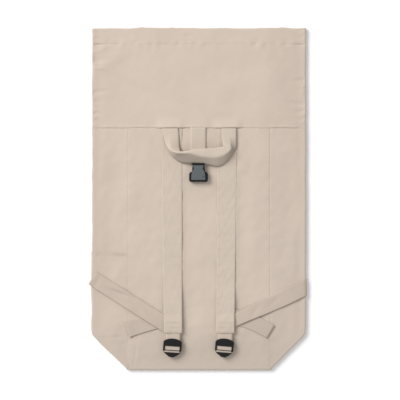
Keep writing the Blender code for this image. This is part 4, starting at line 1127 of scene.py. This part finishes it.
def handle():
    """The haul loop: canvas folded at a crease, down from the seam, across and back up."""
    rails = []
    for section in HANDLE_SECTIONS:
        rail = []
        for x_share, y_share, z_share in (section[0:3], section[3:6], section[6:9]):
            x = HANDLE_X + HANDLE_SPAN * (x_share - 0.5)
            y = SEAM_Y - GAP / 2 - HANDLE_DROP * y_share
            stack = HANDLE_STAND + HANDLE_THICKNESS / 2
            rail.append((x, y, float(top_height(x, y)) + stack + HANDLE_RISE * z_share))
        rails.append(rail)
    inner, crease, outer = np.moveaxis(resample(rails, 2.0), 1, 0)
    points = []
    for share in np.linspace(0, 1, 15):
        bow = (2 * crease - 0.5 * (inner + outer)) * 2 * share * (1 - share)
        curve = inner * (1 - share) ** 2 + bow + outer * share ** 2
        line = blend(inner, crease, 2 * share) if share < 0.5 else blend(crease, outer, 2 * share - 1)
        points.append(blend(curve, line, HANDLE_CREASING))
    points = np.stack(points, 1)
    across = np.concatenate([[0], np.cumsum(np.linalg.norm(np.diff(points, axis=1), axis=2).mean(0))])
    along = np.linalg.norm(np.diff(points, axis=0), axis=2).mean(1).sum()
    crease_at = across[7]
    # Painted shade on the handle's lower face, past its crease.
    paint_shade(HANDLE_CLOTH_WITH_PAINTED_SHADE, (crease_at - 1, crease_at + 3), along, HANDLE_PAINTED_SHADE)
    cloth("handle_cloth", points, HANDLE_CLOTH_WITH_PAINTED_SHADE, ("handle",), "canvas_strap", HANDLE_THICKNESS, 0.0,
          turned=True)


# Moulded parts

def rounded(corners, radius, steps=5):
    """A closed outline with its corners rounded, counter-clockwise."""
    points = []
    count = len(corners)
    for number in range(count):
        before = np.array(corners[number - 1], float)
        here = np.array(corners[number], float)
        after = np.array(corners[(number + 1) % count], float)
        inward = (before - here) / np.linalg.norm(before - here)
        onward = (after - here) / np.linalg.norm(after - here)
        room = min(radius, 0.48 * np.linalg.norm(before - here), 0.48 * np.linalg.norm(after - here))
        start, end = here + inward * room, here + onward * room
        for share in np.linspace(0, 1, steps + 1):
            points.append(start * (1 - share) ** 2 + 2 * here * share * (1 - share) + end * share ** 2)
    return np.array(points)


def mirrored(half):
    """A whole outline from its half."""
    return half + [(-x, y) for x, y in reversed(half)]


def box(left, right, low, high, radius):
    return rounded([(left, low), (right, low), (right, high), (left, high)], radius)


def pillow(outline, low, high, crown=0.0, edge=0.6):
    """A moulded plate: rounded rim, slightly crowned top. Gives points and faces."""
    outline = np.asarray(outline, float)
    centre = outline.mean(0)
    away = outline - centre
    reach = np.linalg.norm(away, axis=1)
    span = reach.max()
    count = len(outline)
    rounding = [(edge * (1 - math.cos(a)), edge * (1 - math.sin(a)))
                for a in np.radians(np.arange(0, 91, 22.5))]
    rings = [(inset, 1.0, low + dip) for inset, dip in reversed(rounding)]
    rings += [(inset, 1.0, high - dip) for inset, dip in rounding]
    rings += [(edge, share, high) for share in (0.85, 0.6, 0.3)]
    vertices = []
    for inset, share, z in rings:
        ring = centre + away * (1 - inset / reach)[:, None] * share
        fall = 1 - (np.linalg.norm(ring - centre, axis=1) / span) ** 2
        vertices.append(np.column_stack([ring, z + fall * (crown if z > low + edge else 0.0)]))
    faces = [tuple(range(count - 1, -1, -1))]
    for ring in range(len(rings) - 1):
        for step in range(count):
            a = ring * count + step
            b = ring * count + (step + 1) % count
            faces.append((a, b, b + count, a + count))
    faces.append(tuple(range((len(rings) - 1) * count, len(rings) * count)))
    return np.concatenate(vertices), faces


def moulding(name, parts, place, material, nodes):
    """Moulded plates joined into one piece and set in place."""
    vertices = []
    faces = []
    base = 0
    for points, part_faces in parts:
        vertices.append(points)
        faces += [tuple(base + i for i in face) for face in part_faces]
        base += len(points)
    moved = np.concatenate(vertices) @ np.array(place.to_3x3()).T + np.array(place.translation)
    set_up(new_object(name, moved, faces), nodes, "black_plastic", material)


def dome(half, foot, shoulder, top):
    """Outline with a straight foot and an arched top."""
    angles = np.linspace(0, math.pi, 19)
    arch = [(half * math.cos(a), shoulder + (top - shoulder) * math.sin(a) ** 0.85) for a in angles]
    return np.array(arch + [(-half, foot + 0.8), (-half + 0.8, foot), (half - 0.8, foot), (half, foot + 0.8)])


def ladder_lock(side):
    """Ladder lock: hooded loop bar, ridge over the tape and a lifting tab."""
    tab = mirrored([(-13.6, -9.6), (-12.2, -12.4), (-8.6, -15.4), (-4.4, -18.8)])
    foot = mirrored([(-15, -9.2), (-17.4, -8.4), (-14.2, -12.0), (-9.6, -15.2), (-4.6, -18.6)])
    parts = [
        pillow(dome(18.4, 3.5, 9.0, LOCK_TOP), 5.0, 6.5, 1.4, 0.7),
        pillow(rounded(foot, 2.0, 4), 0.6, 4.4, 0.2),
        pillow(rounded(tab, 2.4), 2.4, 5.4, 0.5, 0.8),
    ]
    for x in (-16.7, 16.7):
        rail = rounded([(x - 1.8, -7.5), (x + 1.8, -6.0), (x + 1.8, 13), (x - 1.8, 13)], 1.2)
        parts.append(pillow(rail, 0.0, 6.4, 0.0, 0.8))
    for low_y, high_y, corner, low_z, high_z, edge in LOCK_BARS:
        parts.append(pillow(box(-16, 16, low_y, high_y, corner), low_z, high_z, 0.0, edge))
    moulding("lock_" + side["name"], parts, lock_frame(side), BLACK, ("ladder_lock_" + side["name"],))


def buckle_socket():
    """The socket keeps the part's own solid, with eased edges and a grey face plate whose grey is a painted
    reflection.
    """
    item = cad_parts["buckle_socket"]
    item.data.materials.clear()
    item.data.materials.append(BLACK)
    weld = item.modifiers.new("weld", "WELD")
    weld.merge_threshold = 0.002 * MM
    ease_edges = item.modifiers.new("ease_edges", "BEVEL")
    ease_edges.width = 0.6 * MM
    ease_edges.segments = 2
    ease_edges.limit_method = "ANGLE"
    ease_edges.angle_limit = math.radians(35)
    item["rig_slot"] = "black_plastic"
    half_face = [(14.2, -14.6), (13.6, -4.0), (12.4, 1.8), (8.6, 7.6), (9.4, 11.0), (11.2, 14.6)]
    face = pillow(rounded(mirrored(half_face), 1.6, 3), 8.0, 9.1, 0.35, 0.45)
    bar = pillow(box(-13.3, 13.3, 15.4, 18.2, 0.9), 2.2, 9.2)
    rib = pillow(box(8.5, 12.0, -8.4, -7.2, 0.4), 8.6, 9.5, 0.0, 0.2)
    base = float(top_height(BUCKLE_X, BUCKLE_Y)) + BUCKLE_STAND
    place = Matrix.Translation((BUCKLE_X - 0.4, BUCKLE_Y, base))
    # The face plate's grey is a painted reflection.
    moulding("buckle_face", [face], place, GREY_PAINTED_REFLECTION, ())
    moulding("buckle_bar", [bar, rib], place, BLACK, ())


# Stage in millimetres, lights and camera in metres

FLOOR_HALF = 3000.0
FLOOR_Z = -0.4
FLOOR_COLOUR = (0.98, 0.98, 0.985)
FLOOR_GLOW = 0.03
SKY = 0.60
LAMP_PLACE = (-4.45, 3.2, 4.6)
LAMP_SIZE = 4.4
LAMP_POWER = 436
CAMERA_PLACE = (0.002, -0.002, 6.012)
CAMERA_SENSOR = 36
CAMERA_LENS = 270


def stage():
    scene = bpy.context.scene
    corners = [(x * FLOOR_HALF, y * FLOOR_HALF, FLOOR_Z) for x, y in ((-1, -1), (1, -1), (1, 1), (-1, 1))]
    floor = new_object("floor", corners, [(0, 1, 2, 3)])
    material, tree, shader = new_material("studio_floor", FLOOR_COLOUR)
    feed(tree, shader, {
        "Base Color": (*FLOOR_COLOUR, 1), "Roughness": 0.9, "Specular IOR Level": 0.0,
        "Emission Color": (1, 1, 1, 1), "Emission Strength": FLOOR_GLOW,
    })
    floor.data.materials.append(material)
    world = bpy.data.worlds.new("studio")
    world.use_nodes = True
    feed(world.node_tree, world.node_tree.nodes["Background"], {"Color": (1, 1, 1, 1), "Strength": SKY})
    scene.world = world
    lamp = bpy.data.lights.new("key", "AREA")
    lamp.shape = "DISK"
    lamp.size = LAMP_SIZE
    lamp.energy = LAMP_POWER
    key = bpy.data.objects.new("key", lamp)
    key.location = LAMP_PLACE
    key.rotation_euler = (-key.location).to_track_quat("-Z", "Y").to_euler()
    scene.collection.objects.link(key)
    lens = bpy.data.cameras.new("camera")
    lens.sensor_width = CAMERA_SENSOR
    lens.lens = CAMERA_LENS
    lens.clip_end = 50
    camera = bpy.data.objects.new("camera", lens)
    camera.location = CAMERA_PLACE
    scene.collection.objects.link(camera)
    scene.camera = camera
    scene.view_settings.view_transform = "Standard"
    scene.view_settings.look = "None"


def cloth_stitches():
    """The collar hem's row and the two rows of the pocket's hem."""
    for name, low, high, raised, rows in (
            ("hem_stitches", -208, 208, 0.02, (HEM_STITCH_Y,)),
            ("pocket_stitches", -208, -144, POCKET_LAYER + 0.15, (-112.0, -108.5))):
        x = spread(low, high, 3)
        lines = [row(x, y, upper(x, y, raised)) for y in rows]
        stitches(name, lines, "canvas")


back_panel()
front_panel()
bottom_panel()
gussets()
pocket()
collar()
cloth_stitches()
for side in SIDES:
    shoulder_strap(side)
    strap_stitches(side)
    webbing(side)
    strap_loop(side)
    ladder_lock(side)
closure_strap()
handle()
buckle_socket()
stage()
